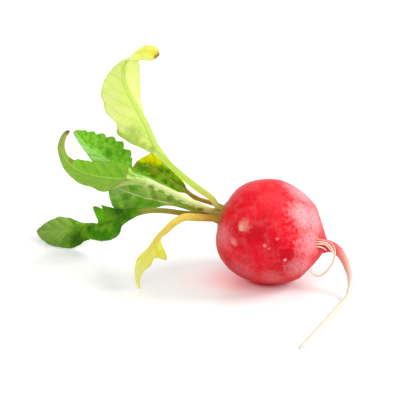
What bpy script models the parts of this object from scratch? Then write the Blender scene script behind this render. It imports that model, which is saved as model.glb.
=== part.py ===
"""A round red radish lying on its side, with its tap root, side roots and seven leaves.

The frame is +Z up. Its origin is the middle of the small flat spot that the globe rests on.
+X runs from the leaves towards the root, and +Y runs from the front to the back.
Lengths are in millimetres until a mesh is made, and the meshes are in metres.
"""

import math
from dataclasses import dataclass, field

import bmesh
import bpy
from mathutils import Vector

MM = 0.001

# The globe and its tap root
GLOBE_RADIUS = 16.05
CROWN_FLATTENING = 0.95
REST_DEPTH = 0.4
GLOBE_CENTRE = Vector((0.0, 0.0, GLOBE_RADIUS - REST_DEPTH))
CROWN_POINT = Vector((-14.3, 2.9, 20.1))
NECK_POINT = Vector((17.2, -2.4, 12.1))
CROWN_RADIUS = 4.1
COLLAR_HEIGHT = 0.5
CROWN_SHOULDER = 0.03
GLOBE_RINGS = 18
NECK_ANGLE = math.radians(136)
# Each pair is a share of the neck's length and the radius there
NECK_PROFILE = [(0.30, 8.9), (0.55, 6.7), (0.74, 4.7), (0.88, 3.2), (1.0, 2.4)]
ROOT_SIDES_RESOLUTION = 11
ROOT_STEP = 2.4
# Each row is a point of the tap root's middle line and its radius there
TAP_ROOT = [
    ((18.9, -2.8, 11.9), 1.80),
    ((20.9, -4.0, 11.2), 1.42),
    ((23.2, -6.5, 8.4), 1.12),
    ((24.4, -9.5, 5.1), 0.86),
    ((24.2, -13.0, 2.5), 0.76),
    ((22.7, -16.9, 0.95), 0.66),
    ((19.8, -22.1, 0.54), 0.54),
    ((15.8, -29.8, 0.46), 0.46),
    ((11.5, -38.3, 0.40), 0.40),
    ((7.6, -45.9, 0.36), 0.36),
]

# Side roots leave the neck: each row is a route, its radius at the neck and at its tip
SIDE_ROOT_STEP = 1.3
SIDE_ROOTS = [
    (
        [
            (14.6, -4.2, 13.2), (17.4, -5.2, 13.5), (19.6, -6.2, 12.4), (20.6, -6.8, 10.2),
            (20.1, -7.0, 7.6), (18.3, -7.2, 5.4), (16.0, -7.4, 3.9), (13.9, -7.4, 3.9), (12.8, -7.3, 5.1),
        ],
        0.40, 0.30,
    ),
    ([(14.9, -4.4, 12.2), (17.2, -5.3, 12.2), (18.6, -6.1, 10.8), (19.0, -6.6, 9.2)], 0.38, 0.30),
    ([(15.0, -4.2, 10.9), (16.7, -5.3, 10.6), (17.9, -6.2, 9.4)], 0.36, 0.30),
]

SIDE_ROOT_RESOLUTION = 1

# What is below this box's top is cut away, so that the root rests on a small flat spot
CUTTER_SIZE = (0.08, 0.16, 0.02)
CUTTER_CENTRE = (0.0, -0.02, -0.01)

# A stalk starts a small gap above the crown and goes straight out to STALK_RISE
STALK_GAP = 0.6
STALK_RISE = 2.4
STALK_SPREAD = 0.012
STALK_WIDTH = 1.1
# A rib has its full radius after this share of the leaf's length, and then thins to the tip
FULL_RIB_SHARE = 0.2
RIB_TAPER = 0.8
# How much of the rib's radius stands out of the upper face, on the blade and more on the stalk
UPPER_RIB = 0.3
UPPER_STALK = 0.5
# A leaf is all blade where its half width is this many rib radii, and all stalk below the second
BLADE_RATIO = 2.6
STALK_RATIO = 1.4
BLADE_THICKNESS = 0.62
FULL_WAVE_WIDTH = 4.0
RIB_ROOM = 1.15
WIDEST_RIB = 0.8
MARGIN_SAMPLES = (0.5, 1.0)
RIB_SAMPLES = (0.0, 0.6, 1.0)
AIM_STEP = 0.05


@dataclass(frozen=True)
class Station:
    """One place along a leaf: its midrib, and how far each margin stands off it."""

    mid: tuple
    left: tuple
    right: tuple


@dataclass(frozen=True)
class Teeth:
    """Rounded teeth along one margin, from one station to another."""

    side: str
    first: int
    last: int
    count: int
    depth: float


@dataclass(frozen=True)
class Leaf:
    """A leaf: where its stalk stands on the crown, its radii there, once grown and at its tip,
    and its stations up to the tip."""

    name: str
    colour: tuple
    socket: tuple
    radii: tuple
    facing: tuple
    stations: list
    step: float = 2.4
    arch: float = 0.0
    wave: float = 0.0
    wave_length: float = 7.0
    teeth: list = field(default_factory=list)


LEAVES = [
    Leaf(
        name="leaf_tall",
        colour=(0.60, 0.80, 0.20),
        socket=(2.1, 0.1),
        radii=(0.95, 1.06, 0.35),
        facing=(0.0, -1.0, 0.0),
        arch=0.05,
        stations=[
            Station((-17.5, 3.7, 25.1), (0.2, -1.2, 0.0), (-0.2, 1.2, 0.0)),
            Station((-21.7, 4.9, 27.9), (0.2, -1.3, 0.0), (-0.2, 1.3, 0.0)),
            Station((-25.6, 6.0, 30.8), (0.2, -1.4, 0.0), (-0.2, 1.4, 0.0)),
            Station((-30.3, 7.0, 35.1), (-0.4, -1.3, -0.2), (0.0, 1.4, 0.0)),
            Station((-33.5, 7.8, 39.6), (-2.0, -1.0, -1.0), (-0.4, 2.4, 0.0)),
            Station((-35.0, 8.1, 42.4), (-7.0, -1.0, -0.6), (-0.9, 5.0, -0.5)),
            Station((-36.1, 8.3, 45.2), (-9.9, -1.0, -0.4), (-0.8, 6.8, -0.8)),
            Station((-37.2, 8.4, 47.9), (-8.2, -0.4, -0.4), (-0.5, 7.5, -0.5)),
            Station((-38.6, 8.4, 50.7), (-9.9, 0.2, -0.9), (0.1, 7.8, 0.0)),
            Station((-40.2, 8.3, 53.7), (-9.8, 0.8, 0.3), (1.2, 7.8, 0.0)),
            Station((-41.9, 8.0, 57.1), (-8.7, 1.4, 0.6), (3.0, 7.4, -0.4)),
            Station((-43.2, 7.6, 60.8), (-6.4, 1.6, 0.4), (4.2, 6.8, -0.6)),
            Station((-43.5, 7.0, 64.8), (-4.5, 0.8, -0.2), (4.5, 6.0, -0.5)),
            Station((-42.5, 5.4, 68.8), (-2.7, -1.6, -0.4), (3.4, 4.8, 0.5)),
            Station((-40.1, 3.0, 71.5), (-2.4, -3.2, -0.6), (2.4, 3.8, 1.1)),
            Station((-37.4, 0.4, 73.2), (-1.7, -3.2, -1.4), (2.0, 3.0, 1.2)),
            Station((-34.7, -1.9, 73.9), (-1.0, -2.2, -1.6), (1.2, 1.9, 1.0)),
            Station((-32.7, -3.3, 73.7), (-0.3, -0.8, -0.6), (0.3, 0.7, 0.6)),
        ],
    ),
    Leaf(
        name="leaf_cupped",
        colour=(0.44, 0.62, 0.16),
        socket=(0.8, -1.8),
        radii=(0.9, 1.15, 0.3),
        facing=(-0.1, 0.5, -1.2),
        arch=-0.10,
        stations=[
            Station((-19.7, 0.1, 23.6), (-0.2, 0.5, -1.05), (0.2, -0.5, 1.05)),
            Station((-24.8, -1.2, 26.8), (-0.2, 0.5, -1.1), (0.2, -0.5, 1.1)),
            Station((-29.3, -2.0, 29.4), (-0.35, 0.45, -1.15), (0.35, -0.45, 1.15)),
            Station((-33.5, -2.8, 31.7), (-0.4, 0.5, -1.3), (0.4, -0.4, 1.3)),
            Station((-37.3, -3.6, 33.8), (-0.5, 0.8, -1.7), (0.5, -0.2, 1.5)),
            Station((-40.9, -4.5, 35.0), (-1.0, 1.0, -2.4), (0.2, 0.4, 1.8)),
            Station((-43.2, -5.2, 35.5), (-4.9, 1.4, -4.5), (1.3, 1.8, 2.8)),
            Station((-45.6, -5.8, 35.9), (-4.9, 1.4, -4.8), (1.4, 2.4, 4.0)),
            Station((-48.9, -6.9, 36.6), (-4.2, 1.4, -3.8), (0.0, 2.5, 4.2)),
            Station((-52.6, -8.0, 37.8), (-3.6, 1.3, -3.5), (0.0, 2.4, 3.8)),
            Station((-56.0, -9.0, 39.3), (-2.9, 1.2, -2.3), (-0.2, 2.2, 3.2)),
            Station((-58.8, -9.8, 41.5), (-2.4, 1.0, -1.1), (0.3, 1.8, 1.5)),
            Station((-61.0, -10.2, 44.8), (-1.4, 0.9, -0.2), (1.0, 1.4, 0.2)),
            Station((-61.6, -10.2, 48.0), (-1.0, 0.8, -0.1), (1.0, 1.0, -0.1)),
            Station((-60.6, -9.8, 50.8), (-0.8, 0.6, 0.2), (0.7, 0.6, -0.3)),
            Station((-59.1, -9.1, 52.5), (-0.5, 0.4, 0.2), (0.5, 0.4, -0.2)),
        ],
    ),
    Leaf(
        name="leaf_scalloped",
        colour=(0.20, 0.47, 0.06),
        socket=(-0.2, 1.2),
        radii=(0.6, 0.7, 0.3),
        facing=(0.3, 0.9, -0.3),
        step=0.9,
        arch=-0.06,
        stations=[
            Station((-23.8, 5.5, 22.7), (0.2, 1.1, 0.2), (-0.2, -1.1, -0.2)),
            Station((-31.4, 6.2, 27.8), (0.2, 1.1, 0.2), (-0.2, -1.1, -0.2)),
            Station((-37.6, 5.6, 31.2), (0.3, 1.1, 0.5), (-0.3, -1.1, -0.4)),
            Station((-42.2, 5.2, 32.7), (1.0, 1.6, 1.3), (-0.3, -1.0, -0.6)),
            Station((-45.6, 4.8, 34.5), (4.0, 3.6, 2.1), (-1.9, -2.0, -0.3)),
            Station((-48.6, 4.4, 36.8), (5.6, 4.6, 3.3), (-3.2, -2.4, -0.3)),
            Station((-50.9, 3.9, 39.0), (5.3, 5.0, 3.6), (-2.9, -2.6, -0.1)),
            Station((-53.1, 3.4, 40.8), (4.4, 4.8, 3.2), (-1.9, -2.6, 0.4)),
            Station((-55.1, 2.9, 42.6), (3.4, 4.2, 2.8), (-1.1, -2.2, 0.4)),
            Station((-56.6, 2.5, 44.6), (2.1, 3.2, 1.9), (-0.6, -1.6, 0.2)),
            Station((-57.7, 2.1, 46.4), (1.0, 1.8, 1.2), (-0.4, -1.0, 0.0)),
            Station((-58.6, 1.9, 47.6), (0.4, 0.7, 0.4), (-0.2, -0.5, -0.1)),
        ],
        teeth=[Teeth("left", 6, 13, 7, 0.16)],
    ),
    Leaf(
        name="leaf_crinkled",
        colour=(0.30, 0.46, 0.08),
        socket=(1.3, 2.4),
        radii=(0.6, 0.7, 0.35),
        facing=(0.3, -0.2, 0.7),
        step=1.7,
        arch=0.08,
        wave=0.8,
        wave_length=5.5,
        stations=[
            Station((-21.9, 7.9, 23.3), (0.25, -0.2, 0.7), (-0.25, 0.2, -0.7)),
            Station((-24.9, 9.8, 24.7), (0.3, -0.2, 0.75), (-0.35, 0.2, -0.85)),
            Station((-28.0, 11.8, 26.3), (1.4, -0.4, 1.7), (-1.9, -0.2, -2.3)),
            Station((-31.1, 13.4, 28.0), (2.0, -0.6, 2.9), (-2.2, -0.6, -3.8)),
            Station((-34.0, 14.6, 29.6), (2.3, -0.6, 4.4), (-2.5, -1.0, -4.2)),
            Station((-36.8, 15.2, 30.9), (1.6, -0.4, 4.6), (-2.5, -1.2, -3.7)),
            Station((-39.3, 15.4, 31.2), (0.7, -0.2, 2.6), (-2.2, -0.8, -2.7)),
            Station((-41.5, 15.5, 30.4), (0.2, 0.0, 1.1), (-0.6, -0.2, -1.2)),
        ],
    ),
    Leaf(
        name="leaf_broad",
        colour=(0.34, 0.52, 0.12),
        socket=(-0.9, 2.8),
        radii=(0.6, 0.68, 0.35),
        facing=(0.2, 0.4, 1.0),
        step=1.9,
        arch=0.10,
        wave=0.5,
        wave_length=6.5,
        stations=[
            Station((-21.3, 6.4, 19.9), (0.2, 0.3, 0.65), (-0.2, -0.3, -0.65)),
            Station((-25.5, 7.2, 20.7), (0.2, 0.3, 0.8), (-0.2, -0.2, -0.7)),
            Station((-28.9, 8.4, 21.2), (0.1, 0.6, 1.8), (-0.2, -0.1, -0.75)),
            Station((-32.3, 9.6, 21.3), (-0.3, 0.8, 3.2), (0.0, 0.3, -1.1)),
            Station((-35.4, 10.6, 21.8), (-0.7, 1.0, 4.6), (-0.4, 1.9, -3.5)),
            Station((-38.2, 11.2, 22.1), (-1.0, 1.2, 5.6), (-0.1, 0.6, -1.3)),
            Station((-41.0, 11.6, 23.0), (-1.2, 1.2, 5.6), (-0.4, 3.4, -7.2)),
            Station((-44.1, 11.8, 24.1), (-1.0, 1.2, 4.6), (-1.1, 4.2, -9.0)),
            Station((-46.5, 11.8, 25.2), (-0.8, 1.0, 2.9), (-1.7, 4.4, -8.3)),
            Station((-47.9, 11.6, 25.8), (-0.6, 0.6, 1.5), (-1.3, 2.4, -4.3)),
            Station((-48.8, 11.4, 26.2), (-0.1, 0.1, 0.5), (-0.3, 0.4, -0.9)),
        ],
    ),
    Leaf(
        name="leaf_low",
        colour=(0.17, 0.38, 0.04),
        socket=(-1.9, 0.9),
        radii=(0.6, 0.7, 0.35),
        facing=(0.1, 0.6, 0.8),
        step=1.8,
        arch=0.12,
        stations=[
            Station((-21.4, 3.4, 19.1), (0.0, 0.35, 0.7), (0.0, -0.35, -0.7)),
            Station((-26.0, 4.3, 19.2), (0.0, 0.35, 0.72), (0.0, -0.35, -0.72)),
            Station((-31.8, 5.5, 19.9), (0.0, 0.3, 0.72), (0.0, -0.3, -0.72)),
            Station((-36.6, 7.2, 19.4), (0.0, 0.3, 0.8), (0.0, -0.3, -0.8)),
            Station((-40.8, 9.4, 17.9), (-0.2, 0.5, 1.2), (0.2, -0.5, -1.4)),
            Station((-44.2, 12.2, 15.4), (-1.6, 0.8, 1.8), (-0.6, -0.8, -2.9)),
            Station((-46.2, 14.2, 13.6), (-5.4, 2.0, 3.6), (0.2, -1.0, -4.4)),
            Station((-47.8, 15.8, 12.2), (-1.4, 1.4, 2.6), (0.4, -1.2, -5.6)),
            Station((-49.6, 17.6, 10.7), (-4.6, 2.2, 4.8), (0.1, -1.2, -5.7)),
            Station((-51.8, 19.4, 9.2), (-1.0, 1.0, 1.4), (-0.4, -1.4, -5.2)),
            Station((-54.8, 21.8, 7.4), (-0.3, 1.2, 0.9), (-0.8, -1.6, -3.0)),
            Station((-57.8, 23.4, 6.0), (-0.8, 3.4, 1.8), (0.2, -1.8, -1.9)),
            Station((-60.8, 24.6, 5.2), (-0.6, 5.6, 1.8), (0.9, -3.6, -4.6)),
            Station((-64.8, 25.2, 4.6), (0.3, 6.6, 2.0), (0.6, -4.8, -4.4)),
            Station((-68.6, 26.2, 3.9), (0.3, 5.2, 1.5), (0.2, -4.0, -3.6)),
            Station((-71.6, 27.6, 3.0), (0.0, 2.8, 0.7), (-0.2, -2.4, -1.7)),
            Station((-73.4, 28.8, 2.3), (-0.1, 0.6, 0.1), (-0.1, -0.6, -0.3)),
        ],
    ),
    Leaf(
        name="leaf_wilted",
        colour=(0.92, 0.84, 0.24),
        socket=(-1.7, -1.5),
        radii=(1.0, 1.35, 0.35),
        facing=(-0.2, -0.6, 0.8),
        step=1.9,
        arch=0.05,
        stations=[
            Station((-22.6, -1.2, 21.0), (-0.15, -0.7, 1.35), (0.15, 0.7, -1.35)),
            Station((-25.8, -2.8, 21.6), (-0.35, -0.6, 1.2), (0.35, 0.6, -1.2)),
            Station((-28.6, -4.2, 20.6), (-0.7, -0.5, 0.9), (0.7, 0.5, -0.9)),
            Station((-31.4, -4.9, 18.2), (-0.8, -0.4, 0.7), (0.8, 0.4, -0.7)),
            Station((-33.7, -5.4, 15.7), (-0.9, -0.4, 0.5), (0.9, 0.4, -0.5)),
            Station((-35.3, -5.8, 13.2), (-1.0, -0.4, 0.5), (4.4, 1.2, -4.6)),
            Station((-36.6, -6.1, 11.5), (-1.7, -0.5, 0.1), (2.1, 1.2, -2.6)),
            Station((-37.6, -6.4, 10.0), (-2.4, -0.5, -0.4), (1.8, 1.2, -3.4)),
            Station((-38.9, -6.8, 7.6), (-1.9, -0.4, -0.5), (1.3, 1.0, -2.2)),
            Station((-39.7, -7.1, 5.0), (-1.0, -0.3, -0.2), (0.9, 0.6, -1.0)),
            Station((-39.8, -7.4, 2.6), (-0.7, -0.2, 0.0), (0.6, 0.3, -0.4)),
            Station((-39.4, -7.6, 0.1), (-0.4, -0.1, 0.0), (0.4, 0.1, 0.0)),
        ],
    ),
]


def smooth_between(before, start, end, after, share):
    """A point of the Catmull-Rom curve between start and end."""
    square = share * share
    cube = square * share
    return (
        start * 2.0
        + (end - before) * share
        + (before * 2.0 - start * 5.0 + end * 4.0 - after) * square
        + (start * 3.0 - before - end * 3.0 + after) * cube
    ) * 0.5


def along(points, place):
    """The curve through points at place, where 1.5 is halfway between the second and the third."""
    last = len(points) - 1
    index = min(int(place), last - 1)
    before = points[max(index - 1, 0)]
    after = points[min(index + 2, last)]
    return smooth_between(before, points[index], points[index + 1], after, place - index)


def places_along(points, step):
    """Places along the curve about one step apart, with every given point among them."""
    places = []
    for index in range(len(points) - 1):
        length = (points[index + 1] - points[index]).length
        parts = max(1, round(length / step))
        places += [index + part / parts for part in range(parts)]
    return places + [float(len(points) - 1)]


def crown_axes():
    """Unit vectors of the crown: outward, up and to the back."""
    outward = (CROWN_POINT - GLOBE_CENTRE).normalized()
    up = (Vector((0, 0, 1)) - outward * outward.z).normalized()
    return outward, up, outward.cross(up)


def crown_place(socket, rise):
    """A point rise millimetres above the crown's face, at a stalk's height and depth."""
    outward, up, back = crown_axes()
    spread = 1.0 + STALK_SPREAD * rise
    return CROWN_POINT + outward * rise + (up * socket[0] + back * socket[1]) * spread


def material(name, colour, roughness):
    """A plain Principled material."""
    made = bpy.data.materials.new(name)
    made.use_nodes = True
    shader = made.node_tree.nodes["Principled BSDF"]
    shader.inputs["Base Color"].default_value = (*colour, 1.0)
    shader.inputs["Roughness"].default_value = roughness
    shader.inputs["Metallic"].default_value = 0.0
    return made


def tube(name, rows, resolution):
    """A closed tube of changing radius: each row is a point and a radius, in millimetres."""
    data = bpy.data.curves.new(name, "CURVE")
    data.dimensions = "3D"
    data.bevel_depth = MM
    data.bevel_resolution = resolution
    data.use_fill_caps = True
    spline = data.splines.new("POLY")
    spline.points.add(len(rows) - 1)
    for point, (place, radius) in zip(spline.points, rows):
        point.co = (*(place * MM), 1.0)
        point.radius = radius
    return bpy.data.objects.new(name, data)


def as_mesh(curve_object, collection):
    """The closed mesh of a curve object, which it replaces."""
    collection.objects.link(curve_object)
    bpy.context.view_layer.update()
    graph = bpy.context.evaluated_depsgraph_get()
    data = bpy.data.meshes.new_from_object(curve_object.evaluated_get(graph))
    form = bmesh.new()
    form.from_mesh(data)
    bmesh.ops.remove_doubles(form, verts=form.verts, dist=1e-6)
    bmesh.ops.recalc_face_normals(form, faces=form.faces)
    form.to_mesh(data)
    form.free()
    name = curve_object.name
    bpy.data.objects.remove(curve_object)
    made = bpy.data.objects.new(name, data)
    collection.objects.link(made)
    return made


def globe_rows():
    """The globe's middle line and radii, from the crown's collar to the start of the neck."""
    middle = [CROWN_POINT, GLOBE_CENTRE, NECK_POINT]
    reach = (CROWN_POINT - GLOBE_CENTRE).length
    first = math.asin(CROWN_RADIUS / GLOBE_RADIUS) + CROWN_SHOULDER
    rows = [
        (along(middle, 0.0), CROWN_RADIUS - COLLAR_HEIGHT),
        (along(middle, 0.5 * COLLAR_HEIGHT / reach), CROWN_RADIUS),
    ]
    for ring in range(GLOBE_RINGS + 1):
        angle = first + (NECK_ANGLE - first) * ring / GLOBE_RINGS
        distance = -GLOBE_RADIUS * math.cos(angle)
        if distance < 0:
            place = 1.0 + distance * CROWN_FLATTENING / reach
        else:
            place = 1.0 + distance / (NECK_POINT - GLOBE_CENTRE).length
        rows.append((along(middle, place), GLOBE_RADIUS * math.sin(angle)))
    return rows


def neck_rows():
    """The neck's middle line and radii, which hollow from the globe into the tap root."""
    start = 1.0 - GLOBE_RADIUS * math.cos(NECK_ANGLE) / (NECK_POINT - GLOBE_CENTRE).length
    middle = [CROWN_POINT, GLOBE_CENTRE, NECK_POINT]
    return [(along(middle, start + (2.0 - start) * share), radius) for share, radius in NECK_PROFILE]


def tap_root_rows():
    """The tap root's middle line and radii, finer than TAP_ROOT."""
    points = [Vector(place) for place, _ in TAP_ROOT]
    radii = [radius for _, radius in TAP_ROOT]
    return [(along(points, place), along(radii, place)) for place in places_along(points, ROOT_STEP)]


def side_root_rows(route, thick, thin):
    """A side root's middle line and radii."""
    points = [Vector(place) for place in route]
    places = places_along(points, SIDE_ROOT_STEP)
    return [
        (along(points, place), thick + (thin - thick) * place / places[-1]) for place in places
    ]


def surface_cutter(helpers):
    """A box whose top is the surface that the root rests on."""
    form = bmesh.new()
    bmesh.ops.create_cube(form, size=1.0)
    data = bpy.data.meshes.new("surface_cutter")
    form.to_mesh(data)
    form.free()
    cutter = bpy.data.objects.new("surface_cutter", data)
    cutter.scale = CUTTER_SIZE
    cutter.location = CUTTER_CENTRE
    cutter.hide_render = True
    cutter.display_type = "WIRE"
    helpers.objects.link(cutter)
    return cutter


def build_root(collection, helpers):
    """The globe with its neck, tap root and side roots, cut flat where it rests."""
    rows = globe_rows() + neck_rows() + tap_root_rows()
    root = as_mesh(tube("root", rows, ROOT_SIDES_RESOLUTION), collection)
    for number, (route, thick, thin) in enumerate(SIDE_ROOTS, 1):
        name = f"side_root_{number}"
        rows = side_root_rows(route, thick, thin)
        hair = as_mesh(tube(name, rows, SIDE_ROOT_RESOLUTION), helpers)
        hair.hide_render = True
        hair.display_type = "WIRE"
        join = root.modifiers.new(name, "BOOLEAN")
        join.operation = "UNION"
        join.object = hair
    cut = root.modifiers.new("flat_spot", "BOOLEAN")
    cut.operation = "DIFFERENCE"
    cut.object = surface_cutter(helpers)
    root.data.shade_smooth()
    root.data.materials.append(material("radish_skin", (0.80, 0.03, 0.07), 0.38))
    return root


def tooth_scale(teeth, side, place):
    """How much of its width a margin keeps at a place, where rounded teeth are cut into it."""
    for row in teeth:
        if row.side == side and row.first <= place <= row.last:
            turn = (place - row.first) / (row.last - row.first) * row.count
            return 1.0 - row.depth * (1.0 - abs(math.sin(math.pi * turn)))
    return 1.0


def rib_reach(width, rib):
    """How far from the midrib the rib's swelling ends."""
    return min(RIB_ROOM * rib, WIDEST_RIB * width)


def half_samples(width, rib):
    """Distances from the midrib to a margin, close together over the rib."""
    inner = rib_reach(width, rib)
    return [inner * share for share in RIB_SAMPLES] + [
        inner + (width - inner) * share for share in MARGIN_SAMPLES
    ]


def thickness(distance, rib, width):
    """How far the leaf reaches below and above its middle surface at a distance from the midrib."""
    share = math.sqrt(max(0.0, 1.0 - (distance / rib_reach(width, rib)) ** 2))
    stalk = min(1.0, max(0.0, (BLADE_RATIO - width / rib) / (BLADE_RATIO - STALK_RATIO)))
    half = BLADE_THICKNESS / 2
    return max(half, rib * share), max(half, rib * share * (UPPER_RIB + UPPER_STALK * stalk))


def rib_radius(radii, share):
    """The rib's radius at a share of the leaf's length: it swells above the crown and then thins."""
    base, full, tip = radii
    if share < FULL_RIB_SHARE:
        return base + (full - base) * math.sin(math.pi / 2 * share / FULL_RIB_SHARE)
    thinning = (share - FULL_RIB_SHARE) / (1.0 - FULL_RIB_SHARE)
    return full + (tip - full) * thinning**RIB_TAPER


def half_ring(leaf, mid, offset, aim, rib, wave_turn):
    """One half of a ring, from the midrib to a margin, as (point, thickness below and above)."""
    width = offset.length
    half = []
    for distance in half_samples(width, rib):
        across = distance / width
        ripple = math.sin(wave_turn) * across**2 * min(1.0, width / FULL_WAVE_WIDTH)
        lift = leaf.arch * width * 4 * across * (1 - across) + leaf.wave * ripple
        below, above = thickness(distance, rib, width)
        half.append((mid + offset * across + aim * lift, below, above))
    return half


def leaf_rings(leaf):
    """The leaf's middle surface in rings of (point, thickness below, thickness above)."""
    facing = Vector(leaf.facing).normalized() * leaf.radii[0] * STALK_WIDTH
    mids = [crown_place(leaf.socket, STALK_GAP), crown_place(leaf.socket, STALK_RISE)]
    mids += [Vector(station.mid) for station in leaf.stations]
    lefts = [facing, facing] + [Vector(station.left) for station in leaf.stations]
    rights = [-facing, -facing] + [Vector(station.right) for station in leaf.stations]
    places = places_along(mids, leaf.step)
    travelled = 0.0
    total = sum((b - a).length for a, b in zip(mids, mids[1:]))
    rings, aims, previous = [], [], mids[0]
    for place in places:
        mid = along(mids, place)
        travelled += (mid - previous).length
        previous = mid
        rib = rib_radius(leaf.radii, min(1.0, travelled / total))
        left = along(lefts, place) * tooth_scale(leaf.teeth, "left", place)
        right = along(rights, place) * tooth_scale(leaf.teeth, "right", place)
        ahead = along(mids, min(place + AIM_STEP, places[-1]))
        ahead = ahead - along(mids, max(place - AIM_STEP, 0.0))
        aim = (left - right).cross(ahead).normalized()
        turn = 2 * math.pi * travelled / leaf.wave_length
        left_half = half_ring(leaf, mid, left, aim, rib, turn - 1)
        right_half = half_ring(leaf, mid, right, aim, rib, turn + 1)
        rings.append(left_half[:0:-1] + right_half)
        aims.append(aim)
    return rings, aims


def surface_normals(rings, aims):
    """Unit normals of the middle surface, on the leaf's upper side."""
    normals = []
    for i, ring in enumerate(rings):
        row = []
        for j in range(len(ring)):
            across = ring[min(j + 1, len(ring) - 1)][0] - ring[max(j - 1, 0)][0]
            ahead = rings[min(i + 1, len(rings) - 1)][j][0] - rings[max(i - 1, 0)][j][0]
            normal = across.cross(ahead)
            normal = normal.normalized() if normal.length > 1e-9 else aims[i]
            row.append(normal if normal.dot(aims[i]) > 0 else -normal)
        normals.append(row)
    return normals


def build_leaf(leaf, collection):
    """A leaf with its stalk, rib and blade in one closed loft, split alike on both faces."""
    rings, aims = leaf_rings(leaf)
    normals = surface_normals(rings, aims)
    form = bmesh.new()
    upper, lower = [], []
    for ring, row in zip(rings, normals):
        upper.append([form.verts.new((p + n * a) * MM) for (p, _, a), n in zip(ring, row)])
        lower.append([form.verts.new((p - n * b) * MM) for (p, b, _), n in zip(ring, row)])

    def quad(a, b, c, d):
        form.faces.new((a, b, c))
        form.faces.new((a, c, d))

    last_ring, last_sample = len(rings) - 1, len(rings[0]) - 1
    for i in range(last_ring):
        for j in range(last_sample):
            quad(upper[i][j], upper[i + 1][j], upper[i + 1][j + 1], upper[i][j + 1])
            form.faces.new((lower[i][j], lower[i + 1][j + 1], lower[i + 1][j]))
            form.faces.new((lower[i][j], lower[i][j + 1], lower[i + 1][j + 1]))
        quad(lower[i][0], lower[i + 1][0], upper[i + 1][0], upper[i][0])
        quad(
            upper[i][last_sample],
            upper[i + 1][last_sample],
            lower[i + 1][last_sample],
            lower[i][last_sample],
        )
    for j in range(last_sample):
        quad(upper[0][j], upper[0][j + 1], lower[0][j + 1], lower[0][j])
        quad(
            lower[last_ring][j],
            lower[last_ring][j + 1],
            upper[last_ring][j + 1],
            upper[last_ring][j],
        )
    bmesh.ops.recalc_face_normals(form, faces=form.faces)
    data = bpy.data.meshes.new(leaf.name)
    form.to_mesh(data)
    form.free()
    data.shade_smooth()
    data.materials.append(material(leaf.name + "_green", leaf.colour, 0.5))
    made = bpy.data.objects.new(leaf.name, data)
    collection.objects.link(made)
    return made


def main():
    """Builds the radish in a cleared scene."""
    for old in list(bpy.data.objects):
        bpy.data.objects.remove(old)
    collection = bpy.data.collections.new("radish")
    helpers = bpy.data.collections.new("cutters")
    for made in (collection, helpers):
        bpy.context.scene.collection.children.link(made)
    build_root(collection, helpers)
    for leaf in LEAVES:
        build_leaf(leaf, collection)


main()
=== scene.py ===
"""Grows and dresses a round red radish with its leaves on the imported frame.

Lengths are in millimetres until a vertex is placed, and every finished mesh is in metres.
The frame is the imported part's own: +Z up, +X from the leaves to the root, +Y to the back.
"""

import logging
import math
from dataclasses import dataclass, field
from enum import Enum

import bpy
from mathutils import Euler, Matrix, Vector, noise


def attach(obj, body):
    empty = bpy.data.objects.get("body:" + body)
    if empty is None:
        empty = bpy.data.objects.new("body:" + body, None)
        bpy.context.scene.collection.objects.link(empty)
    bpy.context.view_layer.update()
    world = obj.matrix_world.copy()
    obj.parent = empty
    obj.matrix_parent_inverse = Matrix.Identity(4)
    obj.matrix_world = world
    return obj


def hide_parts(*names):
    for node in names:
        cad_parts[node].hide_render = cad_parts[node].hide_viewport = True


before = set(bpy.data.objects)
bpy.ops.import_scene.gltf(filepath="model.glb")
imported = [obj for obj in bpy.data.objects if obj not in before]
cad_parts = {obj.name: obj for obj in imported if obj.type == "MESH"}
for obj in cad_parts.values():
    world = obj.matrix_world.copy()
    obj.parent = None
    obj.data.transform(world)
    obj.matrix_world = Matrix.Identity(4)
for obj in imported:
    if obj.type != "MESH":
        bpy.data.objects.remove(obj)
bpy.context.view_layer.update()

LOG = logging.getLogger("radish")
MM = 0.001
Triple = tuple[float, float, float]
Screen = tuple[int, int, int]
Socket, Tree = bpy.types.NodeSocket, bpy.types.NodeTree

# A leaf's roughness falls in its valleys and rises on its peaks, and this much of the light
# that comes through it takes the glow's own colour
DULL_VALLEY, DULL_PEAK = 0.08, 0.14
GLOW_TINT = 0.6


class Side(Enum):
    """The two halves of a leaf, seen from its upper face with its tip away."""

    LEFT = "left"
    RIGHT = "right"


def srgb(red: int, green: int, blue: int) -> tuple[float, float, float, float]:
    """Turns a screen colour into the linear colour that a shader socket takes.

    Args:
        red: The red part, from 0 to 255.
        green: The green part, from 0 to 255.
        blue: The blue part, from 0 to 255.

    Returns:
        The linear colour with an alpha of one.
    """
    linear = []
    for part in (red, green, blue):
        share = part / 255
        linear.append(share / 12.92 if share <= 0.04045 else ((share + 0.055) / 1.055) ** 2.4)
    return (linear[0], linear[1], linear[2], 1.0)


def ease(low: float, high: float, value: float) -> float:
    """A smooth step from 0 at low to 1 at high."""
    share = min(1.0, max(0.0, (value - low) / (high - low)))
    return share * share * (3.0 - 2.0 * share)


def along(points: list, place: float):
    """Reads the smooth curve through points.

    Args:
        points: Vectors or numbers, evenly numbered from zero.
        place: Where to read, so that 1.5 is halfway from the second to the third.

    Returns:
        A vector or a number of the Catmull-Rom curve.
    """
    last = len(points) - 1
    index = min(max(int(place), 0), last - 1)
    share = place - index
    square = share * share
    cube = square * share
    before = points[max(index - 1, 0)]
    start, end = points[index], points[index + 1]
    after = points[min(index + 2, last)]
    return (
        start * 2.0
        + (end - before) * share
        + (before * 2.0 - start * 5.0 + end * 4.0 - after) * square
        + (start * 3.0 - before - end * 3.0 + after) * cube
    ) * 0.5


def distances(points: list[Vector]) -> list[float]:
    """How far each point lies from the first, along the line of points."""
    travelled = [0.0]
    for start, end in zip(points, points[1:]):
        travelled.append(travelled[-1] + (end - start).length)
    return travelled


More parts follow.
